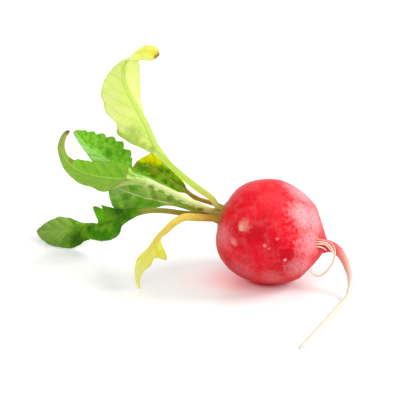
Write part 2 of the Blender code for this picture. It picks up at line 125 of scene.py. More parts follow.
def above_ground(point: Vector) -> Vector:
    """Keeps a point on or over the surface that the radish lies on."""
    point.z = max(0.0, point.z)
    return point


def rough(place: Vector, grain: float, seed: float = 0.0) -> float:
    """Smooth noise between about -1 and 1, whose lumps are grain millimetres wide."""
    return noise.noise(place / grain + Vector((seed, 1.7 * seed, -seed)))


def lumps(place: Vector, layers: tuple) -> float:
    """Layers of noise on each other, each with its grain, its height and its seed."""
    return sum(height * rough(place, grain, seed) for grain, height, seed in layers)


@dataclass(kw_only=True)
class GrownForm:
    """A closed body that grew along a line: each ring of a ball becomes one cross-section.

    Subclasses say where the rings are. The ball's two poles close the ends.
    """

    name: str
    node: str
    slot: str
    around: int = 32
    rings: int = 48
    numbers: dict = field(default_factory=dict)

    def sections(self) -> list[list[Vector]]:
        """The rings of points in millimetres, which also keep the numbers the finish reads."""
        raise NotImplementedError

    def finish(self) -> bpy.types.Material:
        """The material that the body wears."""
        raise NotImplementedError

    def build(self) -> bpy.types.Object:
        """Makes the body from a ball primitive and puts it in the frame.

        Returns:
            The finished object, at the origin, with its place in its mesh.
        """
        sections = self.sections()
        self.rings = len(sections)
        bpy.ops.object.select_all(action="DESELECT")
        bpy.ops.mesh.primitive_uv_sphere_add(
            segments=self.around, ring_count=self.rings + 1, radius=1.0
        )
        body = bpy.context.object
        body.name = self.name
        body.data.name = self.name
        cells = []
        for vertex in body.data.vertices:
            ring, spoke = self.ball_place(vertex.co)
            if ring < 0 or ring >= self.rings:
                ring = 0 if ring < 0 else self.rings - 1
                place = sum(sections[ring], Vector()) / self.around
            else:
                place = sections[ring][spoke]
            cells.append((ring, spoke))
            vertex.co = place * MM
        for mark, values in self.numbers.items():
            layer = body.data.attributes.new(mark, "FLOAT", "POINT")
            layer.data.foreach_set("value", [values[ring][spoke] for ring, spoke in cells])
        bpy.ops.object.mode_set(mode="EDIT")
        bpy.ops.mesh.select_all(action="SELECT")
        bpy.ops.mesh.normals_make_consistent(inside=False)
        bpy.ops.object.mode_set(mode="OBJECT")
        bpy.ops.object.shade_smooth()
        body.data.materials.append(self.finish())
        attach(body, "root")
        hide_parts(self.node)
        LOG.info("%s: %d faces", self.name, len(body.data.polygons))
        return body

    def spokes(self, side: Vector, up: Vector) -> list[tuple[float, Vector]]:
        """The angle and the outward direction of each spoke of a ring."""
        turns = [math.tau * spoke / self.around for spoke in range(self.around)]
        return [(turn, side * math.cos(turn) + up * math.sin(turn)) for turn in turns]

    def ball_place(self, place: Vector) -> tuple[int, int]:
        """Which ring and spoke a vertex of the ball belongs to; the poles are one ring beyond."""
        polar = math.acos(max(-1.0, min(1.0, place.z)))
        ring = round(polar / math.pi * (self.rings + 1)) - 1
        spoke = round(math.atan2(place.y, place.x) / math.tau * self.around) % self.around
        return ring, spoke


def carried_frames(points: list[Vector]) -> list[tuple[Vector, Vector]]:
    """Carries two directions across a line of points without twist.

    Args:
        points: The line, in order.

    Returns:
        For each point, two unit vectors at right angles to the line and to each other.
    """
    last = len(points) - 1
    frames, across = [], None
    for index in range(last + 1):
        ahead = (points[min(index + 1, last)] - points[max(index - 1, 0)]).normalized()
        if across is None:
            across = ahead.cross(Vector((0, 0, 1))).normalized()
        across = (across - ahead * across.dot(ahead)).normalized()
        frames.append((across, ahead.cross(across)))
    return frames


@dataclass(frozen=True)
class Station:
    """One place along a leaf: its midrib, and how far each margin stands off it."""

    mid: Triple
    left: Triple
    right: Triple


@dataclass(frozen=True)
class Teeth:
    """Rounded teeth along one margin, from one station to another."""

    side: Side
    first: int
    last: int
    count: int
    depth: float


class Graph:
    """Adds the nodes of one tree and wires them."""

    def __init__(self, tree: Tree) -> None:
        """Keeps the tree."""
        self.tree = tree

    def put(self, socket: Socket, value) -> None:
        """Links another node's output into the socket, or sets the socket's own value."""
        if isinstance(value, Socket):
            self.tree.links.new(value, socket)
        else:
            socket.default_value = value

    def add(self, kind: str, inputs: dict | None = None, **settings) -> bpy.types.Node:
        """Adds a node.

        Args:
            kind: The node's type.
            inputs: Values or links, by socket name or number.
            settings: Properties of the node.

        Returns:
            The new node.
        """
        node = self.tree.nodes.new(kind)
        for key, value in settings.items():
            setattr(node, key, value)
        self.fill(node, inputs or {})
        return node

    def fill(self, node: bpy.types.Node, inputs: dict) -> None:
        """Puts values or links in a node's sockets, by their names or numbers."""
        for key, value in inputs.items():
            self.put(node.inputs[key], value)

    def math(self, operation: str, *values) -> Socket:
        """One step of arithmetic on numbers or links."""
        node = self.add("ShaderNodeMath", dict(enumerate(values)), operation=operation)
        return node.outputs[0]

    def times(self, first, second) -> Socket:
        """The product of two numbers or links."""
        return self.math("MULTIPLY", first, second)

    def plus(self, first, second) -> Socket:
        """The sum of two numbers or links."""
        return self.math("ADD", first, second)

    def minus(self, first, second) -> Socket:
        """What is left of first without second."""
        return self.math("SUBTRACT", first, second)

    def fade(self, value, low, high) -> Socket:
        """A smooth step from 0 where value is low to 1 where it is high."""
        inputs = {"Value": value, "From Min": low, "From Max": high}
        node = self.add("ShaderNodeMapRange", inputs, interpolation_type="SMOOTHSTEP")
        return node.outputs[0]

    def scaled(self, value, low, high) -> Socket:
        """Stretches a value from 0 to 1 so that it runs from low to high."""
        inputs = {"Value": value, "To Min": low, "To Max": high}
        return self.add("ShaderNodeMapRange", inputs).outputs[0]

    def mix(self, share, first, second) -> Socket:
        """A colour between first, at a share of 0, and second, at a share of 1."""
        inputs = {0: share, 6: first, 7: second}
        return self.add("ShaderNodeMix", inputs, data_type="RGBA").outputs[2]

    def mark(self, name: str) -> Socket:
        """The number that a grown form keeps for each of its points."""
        return self.add("ShaderNodeAttribute", attribute_name=name).outputs["Fac"]

    def millimetres(self, grain=1.0) -> Socket:
        """The place on the object in grains of so many millimetres."""
        place = self.add("ShaderNodeTexCoord").outputs["Object"]
        scale = self.math("DIVIDE", 1000.0, grain)
        node = self.add("ShaderNodeVectorMath", {0: place, "Scale": scale}, operation="SCALE")
        return node.outputs[0]

    def stretched(self, **marks: float) -> Socket:
        """A vector of the form's own numbers, each times its factor, for streaks and rings."""
        parts = [self.times(self.mark(name), factor) for name, factor in marks.items()]
        return self.add("ShaderNodeCombineXYZ", dict(zip("XYZ", parts))).outputs[0]

    def apart(self, first, second) -> Socket:
        """The distance between two points."""
        inputs = {0: first, 1: second}
        return self.add("ShaderNodeVectorMath", inputs, operation="DISTANCE").outputs["Value"]

    def noise(self, vector, detail: float = 3.0) -> Socket:
        """Soft noise from 0 to 1 with one lump in each unit of the vector."""
        inputs = {"Vector": vector, "Scale": 1.0, "Detail": detail, "Roughness": 0.55}
        return self.add("ShaderNodeTexNoise", inputs).outputs["Fac"]

    def cells(self, vector, feature: str) -> Socket:
        """The distance to the middles or to the edges of irregular cells."""
        inputs = {"Vector": vector, "Scale": 1.0, "Randomness": 1.0}
        node = self.add("ShaderNodeTexVoronoi", inputs, feature=feature)
        return node.outputs["Distance"]

    def ramp(self, value, stops: list) -> Socket:
        """A colour that runs through stops of (place, colour)."""
        node = self.add("ShaderNodeValToRGB", {"Fac": value})
        band = node.color_ramp
        while len(band.elements) < len(stops):
            band.elements.new(0.5)
        for element, (place, colour) in zip(band.elements, stops):
            element.position = place
            element.color = colour
        return node.outputs["Color"]

    def bump(self, height) -> Socket:
        """The surface's normal over a relief whose height is in millimetres."""
        inputs = {"Height": height, "Distance": MM, "Strength": 1.0}
        return self.add("ShaderNodeBump", inputs).outputs["Normal"]

    def group(self, tree: Tree, inputs: dict) -> bpy.types.bpy_prop_collection:
        """Places a node group with its own values and returns its outputs."""
        return self.add("ShaderNodeGroup", inputs, node_tree=tree).outputs


class Effect:
    """A shader node group that is built once and placed in several materials."""

    name = "Effect"
    inputs: dict = {}
    outputs: dict = {}

    def tree(self) -> Tree:
        """Returns the group's tree, which the first call builds."""
        if self.name in bpy.data.node_groups:
            return bpy.data.node_groups[self.name]
        tree = bpy.data.node_groups.new(self.name, "ShaderNodeTree")
        for key, value in self.inputs.items():
            kind = "NodeSocketFloat"
            if isinstance(value, tuple):
                kind = "NodeSocketColor" if len(value) == 4 else "NodeSocketVector"
            socket = tree.interface.new_socket(name=key, in_out="INPUT", socket_type=kind)
            socket.default_value = value
        for key, kind in self.outputs.items():
            tree.interface.new_socket(name=key, in_out="OUTPUT", socket_type=kind)
        graph = Graph(tree)
        given = graph.add("NodeGroupInput").outputs
        results = self.wire(graph, given)
        graph.add("NodeGroupOutput", results)
        return tree

    def wire(self, graph: Graph, given) -> dict:
        """Builds the nodes between the group's inputs and its outputs."""
        raise NotImplementedError


class Mottle(Effect):
    """Soft blotches of a given grain in millimetres."""

    name = "Mottle"
    inputs = {"Grain": 3.0, "Low": 0.4, "High": 0.6}
    outputs = {"Mask": "NodeSocketFloat"}

    def wire(self, graph: Graph, given) -> dict:
        """Cuts noise between two levels."""
        lumps = graph.noise(graph.millimetres(given["Grain"]), 4.0)
        return {"Mask": graph.fade(lumps, given["Low"], given["High"])}


class Spot(Effect):
    """A ragged round spot at a place on the object, in millimetres."""

    name = "Spot"
    inputs = {"Centre": (0.0, 0.0, 0.0), "Radius": 1.0, "Softness": 0.5}
    outputs = {"Mask": "NodeSocketFloat"}

    def wire(self, graph: Graph, given) -> dict:
        """Measures the distance from the centre and roughens it."""
        gap = graph.apart(graph.millimetres(), given["Centre"])
        ragged = graph.scaled(graph.noise(graph.millimetres(1.2), 5.0), 0.1, 1.9)
        reach = graph.times(given["Radius"], ragged)
        core = graph.times(reach, graph.minus(1.0, given["Softness"]))
        return {"Mask": graph.minus(1.0, graph.fade(gap, core, reach))}


class Veins(Effect):
    """The side veins of a blade and the fine net between them."""

    name = "Veins"
    inputs = {"Width": 0.16, "Net Grain": 1.4}
    outputs = {"Side Vein": "NodeSocketFloat", "Net": "NodeSocketFloat"}

    def wire(self, graph: Graph, given) -> dict:
        """Finds how near a point is to a whole number of the leaf's own vein count."""
        sway = graph.scaled(graph.noise(graph.millimetres(2.2), 2.0), -0.16, 0.16)
        turn = graph.math("FRACT", graph.plus(graph.mark("phase"), sway))
        near = graph.times(graph.math("ABSOLUTE", graph.minus(turn, 0.5)), 2.0)
        edge = graph.math("ABSOLUTE", graph.mark("reach"))
        thin = graph.times(given["Width"], graph.scaled(edge, 1.5, 0.4))
        vein = graph.fade(near, graph.minus(1.0, thin), 1.0)
        net = graph.cells(graph.millimetres(given["Net Grain"]), "DISTANCE_TO_EDGE")
        net = graph.fade(net, 0.10, 0.0)
        blade = graph.mark("blade")
        return {
            "Side Vein": graph.times(vein, blade),
            "Net": graph.times(net, blade),
        }


class LeafPaint(Effect):
    """The colours of a leaf from its stalk to its margins, on both faces."""

    name = "Leaf paint"
    colours = (
        "Blade", "Mottled", "Vein", "Rib", "Underside", "Margin", "Tip", "Stalk", "Stalk Base",
        "Rib Edge", "Wing", "Right Half",
    )
    shares = (
        "Vein Strength", "Rib Strength", "Margin Start", "Tip Start", "Base End", "Wing End",
        "Rib Edge Strength", "Collar", "Right Strength",
    )
    masks = ("Side Vein", "Net", "Mottle Mask")
    inputs = {**dict.fromkeys(colours, (0.2, 0.4, 0.05, 1.0)), **dict.fromkeys(shares + masks, 0.0)}
    outputs = {"Color": "NodeSocketColor"}

    def wire(self, graph: Graph, given) -> dict:
        """Layers the colours from the blade to the stalk."""
        paint = graph.mix(given["Mottle Mask"], given["Blade"], given["Mottled"])
        below = graph.minus(1.0, graph.mark("upper"))
        paint = graph.mix(graph.times(below, 0.75), paint, given["Underside"])
        net = graph.times(graph.times(given["Net"], 0.4), given["Vein Strength"])
        paint = graph.mix(net, paint, given["Vein"])
        veins = graph.times(given["Side Vein"], given["Vein Strength"])
        paint = graph.mix(veins, paint, given["Vein"])
        # Tints the right half of the blade; on the cupped leaf it is painted shade that darkens
        # that half of its fold
        right = graph.times(graph.fade(graph.mark("reach"), 0.0, 0.06), given["Right Strength"])
        paint = graph.mix(right, paint, given["Right Half"])
        edge = graph.math("ABSOLUTE", graph.mark("reach"))
        sway = graph.scaled(graph.noise(graph.millimetres(3.0), 4.0), -0.12, 0.12)
        edge = graph.plus(edge, sway)
        rim = graph.fade(edge, given["Margin Start"], 1.0)
        rim = graph.times(rim, graph.mark("blade"))
        paint = graph.mix(rim, paint, given["Margin"])
        share = graph.plus(graph.mark("along"), graph.times(sway, 0.15))
        paint = graph.mix(graph.fade(share, given["Tip Start"], 1.0), paint, given["Tip"])
        # Painted shade beside the raised rib: both of its edges darken to the rib edge colour
        band = graph.mark("rib")
        edges = graph.times(band, graph.minus(1.0, band))
        edges = graph.times(graph.times(edges, 4.0), given["Rib Edge Strength"])
        paint = graph.mix(graph.times(band, given["Rib Strength"]), paint, given["Rib"])
        paint = graph.mix(edges, paint, given["Rib Edge"])
        streaks = graph.noise(graph.stretched(reach=5.0, along=9.0, upper=3.0), 3.0)
        wing = graph.minus(given["Collar"], graph.mark("along"))
        wing = graph.plus(wing, graph.times(sway, 0.05))
        streaked = graph.mix(graph.fade(streaks, 0.46, 0.60), given["Wing"], given["Blade"])
        paint = graph.mix(graph.fade(wing, -0.002, 0.002), paint, streaked)
        seam = graph.fade(graph.math("ABSOLUTE", wing), 0.008, 0.001)
        paint = graph.mix(graph.times(seam, 0.6), paint, given["Margin"])
        base = graph.plus(share, graph.scaled(streaks, -0.05, 0.05))
        base = graph.fade(base, given["Base End"], 0.0)
        stalk = graph.mix(base, given["Stalk"], given["Stalk Base"])
        stalk = graph.mix(graph.fade(streaks, 0.5, 0.8), stalk, given["Rib"])
        bare = graph.minus(1.0, graph.mark("blade"))
        wing = graph.minus(given["Wing End"], share)
        bare = graph.math("MAXIMUM", bare, graph.fade(wing, -0.008, 0.008))
        return {"Color": graph.mix(bare, paint, stalk)}


class LeafRelief(Effect):
    """The fine relief of a leaf, in millimetres of height."""

    name = "Leaf relief"
    inputs = {"Side Vein": 0.0, "Net": 0.0, "Wrinkle": 0.1}
    outputs = {"Height": "NodeSocketFloat", "Sheen": "NodeSocketFloat"}

    def wire(self, graph: Graph, given) -> dict:
        """Sinks the veins on the upper face and raises them below."""
        side = graph.scaled(graph.mark("upper"), 1.0, -1.0)
        veins = graph.times(given["Side Vein"], 0.10)
        veins = graph.plus(veins, graph.times(given["Net"], 0.035))
        height = graph.times(veins, side)
        lumps = graph.noise(graph.millimetres(1.1), 4.0)
        height = graph.plus(height, graph.times(lumps, given["Wrinkle"]))
        grain = graph.noise(graph.millimetres(0.22), 2.0)
        height = graph.plus(height, graph.times(grain, 0.02))
        return {"Height": height, "Sheen": lumps}


class Finish:
    """How a surface looks; each kind wires its own nodes to a Principled shader."""

    def material(self, name: str) -> bpy.types.Material:
        """Makes the finish's material.

        Args:
            name: The material's name.

        Returns:
            The new material, with its nodes wired.
        """
        made = bpy.data.materials.new(name)
        made.use_nodes = True
        self.wire(Graph(made.node_tree), made.node_tree.nodes["Principled BSDF"])
        return made

    def wire(self, graph: Graph, shader: bpy.types.Node) -> None:
        """Builds the nodes that feed the shader."""
        raise NotImplementedError


@dataclass(frozen=True)
class MarkOrPaintedLight:
    """A spot, a real mark or painted light: where it is in millimetres, how wide, and its colour.
    """

    centre: Triple
    radius: float
    colour: Screen
    strength: float
    softness: float


def spots(*rows: tuple) -> tuple[MarkOrPaintedLight, ...]:
    """Reads a spot from each row: its centre, radius, colour, strength and softness."""
    return tuple(MarkOrPaintedLight(row[:3], row[3], row[4:7], row[7], row[8]) for row in rows)


def spot_mask(graph: Graph, spot: "MarkOrPaintedLight | Patch", softness: float) -> Socket:
    """A mask from 0 to 1 round the centre of a spot or a patch."""
    inputs = {"Centre": spot.centre, "Radius": spot.radius, "Softness": softness}
    return graph.group(Spot().tree(), inputs)["Mask"]


def with_marks_and_painted_light(graph: Graph, paint: Socket, marks_and_painted_light: tuple) -> Socket:
    """Lays spots over a colour: real marks, painted glints and painted shade."""
    for spot in marks_and_painted_light:
        share = graph.times(spot_mask(graph, spot, spot.softness), spot.strength)
        paint = graph.mix(share, paint, srgb(*spot.colour))
    return paint


@dataclass(frozen=True)
class LeafFinish(Finish):
    """The colours of one leaf, as screen colours, and how it takes light."""

    blade: Screen
    mottled: Screen
    vein: Screen
    rib: Screen
    underside: Screen
    margin: Screen
    tip: Screen
    stalk: Screen
    stalk_base: Screen
    glow: Screen
    # Painted shade beside the raised rib
    rib_edge: Screen
    wing: Screen = (190, 214, 112)
    # On the cupped leaf this tint of the right half is painted shade
    right_half: Screen = (150, 200, 110)
    rib_edge_strength: float = 0.3
    right_strength: float = 0.0
    collar: float = -1.0
    glow_share: float = 0.32
    margin_start: float = 0.93
    tip_start: float = 0.96
    base_end: float = 0.22
    wing_end: float = -1.0
    mottle_grain: float = 4.0
    mottle_low: float = 0.42
    mottle_high: float = 0.62
    roughness: float = 0.42
    gloss: float = 0.09
    wrinkle: float = 0.12
    vein_width: float = 0.16
    vein_strength: float = 0.5
    rib_strength: float = 0.8
    marks_and_painted_light: tuple = ()

    def wire(self, graph: Graph, shader: bpy.types.Node) -> None:
        """Mixes the painted shader with one that lets light through the blade."""
        veins = graph.group(Veins().tree(), {"Width": self.vein_width})
        veined = {"Side Vein": veins["Side Vein"], "Net": veins["Net"]}
        mottle = {"Grain": self.mottle_grain, "Low": self.mottle_low, "High": self.mottle_high}
        given = {"Mottle Mask": graph.group(Mottle().tree(), mottle)["Mask"], **veined}
        for key in LeafPaint.colours:
            given[key] = srgb(*self.own(key))
        for key in LeafPaint.shares:
            given[key] = self.own(key)
        paint = graph.group(LeafPaint().tree(), given)["Color"]
        paint = with_marks_and_painted_light(graph, paint, self.marks_and_painted_light)
        relief = graph.group(LeafRelief().tree(), {"Wrinkle": self.wrinkle, **veined})
        normal = graph.bump(relief["Height"])
        low, high = self.roughness - DULL_VALLEY, self.roughness + DULL_PEAK
        spread = graph.scaled(relief["Sheen"], low, high)
        looks = {"Base Color": paint, "Roughness": spread, "Normal": normal}
        graph.fill(shader, {"Specular IOR Level": self.gloss, **looks})
        lit = graph.mix(GLOW_TINT, paint, srgb(*self.glow))
        through = graph.add("ShaderNodeBsdfTranslucent", {"Color": lit, "Normal": normal})
        ends = {0: self.glow_share, 1: shader.outputs["BSDF"], 2: through.outputs["BSDF"]}
        both = graph.add("ShaderNodeMixShader", ends)
        output = graph.tree.nodes["Material Output"]
        graph.put(output.inputs["Surface"], both.outputs["Shader"])

    def own(self, key: str) -> Screen | float:
        """The value for a socket of the leaf paint, by the socket's name."""
        return getattr(self, key.lower().replace(" ", "_"))


@dataclass(frozen=True)
class Patch:
    """A wide soft patch on the skin and how much pale frost it adds there, partly painted
    highlight.
    """

    centre: Triple
    radius: float
    weight: float


# The patches on the globe's front stand where its highlight and its lit rims show, so their pale
# specks are partly painted highlight and rim reflection; the two at the back are frost only
BLOOM_AND_HIGHLIGHT_PATCHES = (
    Patch((9.8, 1.0, 28.6), 9.0, 1.0),
    Patch((10.6, -8.5, 25.0), 8.5, 1.0),
    Patch((12.2, -11.5, 17.5), 8.5, 0.85),
    Patch((9.5, -13.6, 10.0), 7.0, 0.75),
    Patch((12.8, -5.5, 22.0), 8.0, 1.0),
    Patch((1.0, -7.0, 29.6), 7.5, 0.12),
    Patch((-13.2, -8.0, 18.0), 6.0, 0.55),
    Patch((-8.5, -12.5, 8.0), 7.0, 0.30),
    Patch((0.5, -13.0, 6.5), 6.0, 0.34),
    Patch((2.0, 13.5, 22.0), 10.0, 0.75),
    Patch((-8.0, 11.0, 9.0), 9.0, 0.65),
)

SKIN_SPOTS = spots(
    (-4.6, -14.2, 21.4, 3.4, 204, 2, 26, 0.80, 0.35),
    (4.7, -15.5, 15.4, 2.7, 202, 4, 30, 0.90, 0.30),
    (-7.6, -12.1, 23.2, 2.8, 240, 140, 124, 0.70, 0.8),
    (-8.5, -12.0, 22.5, 1.5, 236, 178, 150, 0.75, 0.8),
    (-10.8, -12.3, 17.9, 1.6, 238, 146, 134, 0.70, 0.8),
    (-1.7, -15.6, 18.3, 0.8, 244, 150, 144, 0.75, 0.7),
    (-0.4, -15.7, 17.5, 0.6, 240, 160, 150, 0.75, 0.7),
    (1.9, -15.1, 20.3, 0.7, 244, 130, 130, 0.70, 0.7),
    (4.4, -15.5, 13.6, 0.7, 250, 180, 170, 0.80, 0.7),
)

# The skin's colours by the share of the way from the crown to the root's tip
SKIN_STOPS = (
    (0.000, (176, 140, 62)), (0.008, (170, 112, 52)), (0.013, (186, 60, 48)),
    (0.022, (220, 24, 42)), (0.380, (214, 40, 56)), (0.425, (224, 104, 102)),
    (0.475, (230, 152, 138)), (0.530, (232, 186, 168)), (0.575, (234, 214, 194)),
    (0.660, (226, 222, 192)), (1.000, (204, 204, 180)),
)


@dataclass(frozen=True)
class SkinFinish(Finish):
    """The globe's thin red skin with pale frost, partly painted highlight, which fades into the tap
    root.
    """

    red: tuple = (0.77, 0.0035, 0.017, 1.0)
    deep_red: tuple = (0.62, 0.0022, 0.012, 1.0)
    bloom_and_highlight: tuple = (0.93, 0.47, 0.50, 1.0)
    roughness: float = 0.36
    cloud_weight: float = 0.16
    patch_softness: float = 0.85
    speck_grain: float = 0.42
    pore_spacing: float = 2.3
    pore: Screen = (248, 150, 150)
    crown_fade: tuple[float, float] = (0.014, 0.024)
    neck_fade: tuple[float, float] = (0.40, 0.34)
    patches: tuple = BLOOM_AND_HIGHLIGHT_PATCHES
    marks_and_painted_light: tuple = SKIN_SPOTS

    def wire(self, graph: Graph, shader: bpy.types.Node) -> None:
        """Lays frost, partly painted highlight, pores, rings and scars on red skin, which turns
        cream towards its tip.
        """
        sway = graph.scaled(graph.noise(graph.millimetres(1.8), 3.0), -0.012, 0.012)
        calm = graph.fade(graph.mark("along"), 0.0, 0.1)
        share = graph.plus(graph.mark("along"), graph.times(sway, calm))
        clouds = graph.group(Mottle().tree(), {"Grain": 6.0, "Low": 0.35, "High": 0.75})["Mask"]
        red = graph.mix(clouds, self.red, self.deep_red)
        density = self.bloom_and_highlight_density(graph)
        specks = graph.noise(graph.millimetres(self.speck_grain), 3.0)
        specks = graph.fade(specks, 0.34, 0.68)
        amount = graph.times(density, graph.scaled(specks, 0.34, 0.78))
        # Pale specks of frost, partly painted highlight and rim reflection
        red = graph.mix(amount, red, self.bloom_and_highlight)
        pores = graph.cells(graph.millimetres(self.pore_spacing), "F1")
        pores = graph.fade(pores, 0.11, 0.04)
        red = graph.mix(graph.times(pores, 0.12), red, srgb(*self.pore))
        red = with_marks_and_painted_light(graph, red, self.marks_and_painted_light)
        stops = [(place, srgb(*colour)) for place, colour in SKIN_STOPS]
        pale = graph.ramp(share, stops)
        start = graph.fade(share, *self.crown_fade)
        end = graph.fade(share, *self.neck_fade)
        paint = graph.mix(graph.times(start, end), pale, red)
        dull = graph.plus(self.roughness, graph.times(amount, 0.16))
        height = graph.times(graph.noise(graph.millimetres(0.35), 3.0), 0.035)
        height = graph.plus(height, graph.times(amount, 0.008))
        height = graph.minus(height, graph.times(pores, 0.03))
        rings = graph.noise(graph.stretched(along=120.0, round=5.0), 3.0)
        height = graph.plus(height, graph.times(rings, 0.05))
        looks = {"Base Color": paint, "Roughness": dull, "Normal": graph.bump(height)}
        sheen = {"Specular IOR Level": 0.09, "Sheen Weight": 0.03, "Sheen Roughness": 0.35}
        graph.fill(shader, {**sheen, **looks})

    def bloom_and_highlight_density(self, graph: Graph) -> Socket:
        """How densely the pale specks lie at a point, from 0 to 1; partly a painted highlight."""
        clouds = graph.group(Mottle().tree(), {"Grain": 2.6, "Low": 0.38, "High": 0.74})["Mask"]
        total = graph.times(clouds, self.cloud_weight)
        for patch in self.patches:
            spot = spot_mask(graph, patch, self.patch_softness)
            total = graph.math("MAXIMUM", total, graph.times(spot, patch.weight))
        return total


@dataclass(frozen=True)
class HairFinish(Finish):
    """The pale side roots, pink where they leave the neck."""

    tip: Screen = (240, 222, 196)
    neck: Screen = (224, 124, 108)

    def wire(self, graph: Graph, shader: bpy.types.Node) -> None:
        """Wires a pale matte surface with faint bands."""
        bands = graph.noise(graph.millimetres(0.7), 3.0)
        share = graph.plus(graph.mark("along"), graph.scaled(bands, -0.15, 0.15))
        paint = graph.mix(graph.fade(share, 0.05, 0.60), srgb(*self.neck), srgb(*self.tip))
        looks = {
            "Base Color": paint,
            "Specular IOR Level": 0.3,
            "Roughness": graph.scaled(bands, 0.4, 0.65),
            "Normal": graph.bump(graph.times(bands, 0.08)),
        }
        graph.fill(shader, looks)


CROWN_POINT = Vector((-14.3, 2.9, 20.1))
GLOBE_CENTRE = Vector((0.0, 0.0, 15.65))
NECK_POINT = Vector((17.2, -2.4, 12.1))
FLAT_SHOULDER = Vector((14.0, -2.0, 22.0))
FLAT_FADE = (13.0, 2.0)
CROWN_CREASES = 9
RING_SPACING = 1.15
FINE_STEPS = 24

# Layers of lumps: grain, height and seed
GLOBE_LUMPS = ((9.0, 0.20, 0.0), (3.2, 0.045, 5.0), (1.1, 0.010, 9.0))
TAP_LUMPS = ((1.9, 0.16, 2.0), (0.8, 0.08, 7.0))
WEAR = ((2.1, 1.0, 0.0), (0.8, 0.5, 3.0))

# Rises and radii of the crown's rings, radii along the neck by the share of its length, and
# the tap root's middle line with its radius at each point
CROWN_ROWS = ((0.55, 0.6), (0.50, 1.7), (0.30, 2.8), (0.0, 3.7))
NECK_ROWS = ((0.30, 8.3), (0.55, 6.0), (0.74, 4.3), (0.88, 3.2), (1.0, 2.4))
TAP_ROWS = (
    ((18.9, -2.8, 11.9), 1.80), ((20.9, -4.0, 11.2), 1.42), ((23.2, -6.5, 8.4), 1.12),
    ((24.4, -9.5, 5.1), 0.86), ((24.2, -13.0, 2.5), 0.76), ((22.7, -16.9, 0.95), 0.66),
    ((19.8, -22.1, 0.54), 0.54), ((15.8, -29.8, 0.46), 0.46), ((11.5, -38.3, 0.40), 0.40),
    ((7.6, -45.9, 0.36), 0.34),
)
TAP_END_RADIUS = 0.2


def crown_place(socket: tuple[float, float], rise: float) -> Vector:
    """A point above the crown's face.

    Args:
        socket: The height and the depth from the crown's middle.
        rise: How far outward it is.

    Returns:
        The point in millimetres.
    """
    outward = (CROWN_POINT - GLOBE_CENTRE).normalized()
    up = (Vector((0, 0, 1)) - outward * outward.z).normalized()
    back = outward.cross(up)
    spread = 1.0 + 0.012 * rise
    return CROWN_POINT + outward * rise + (up * socket[0] + back * socket[1]) * spread


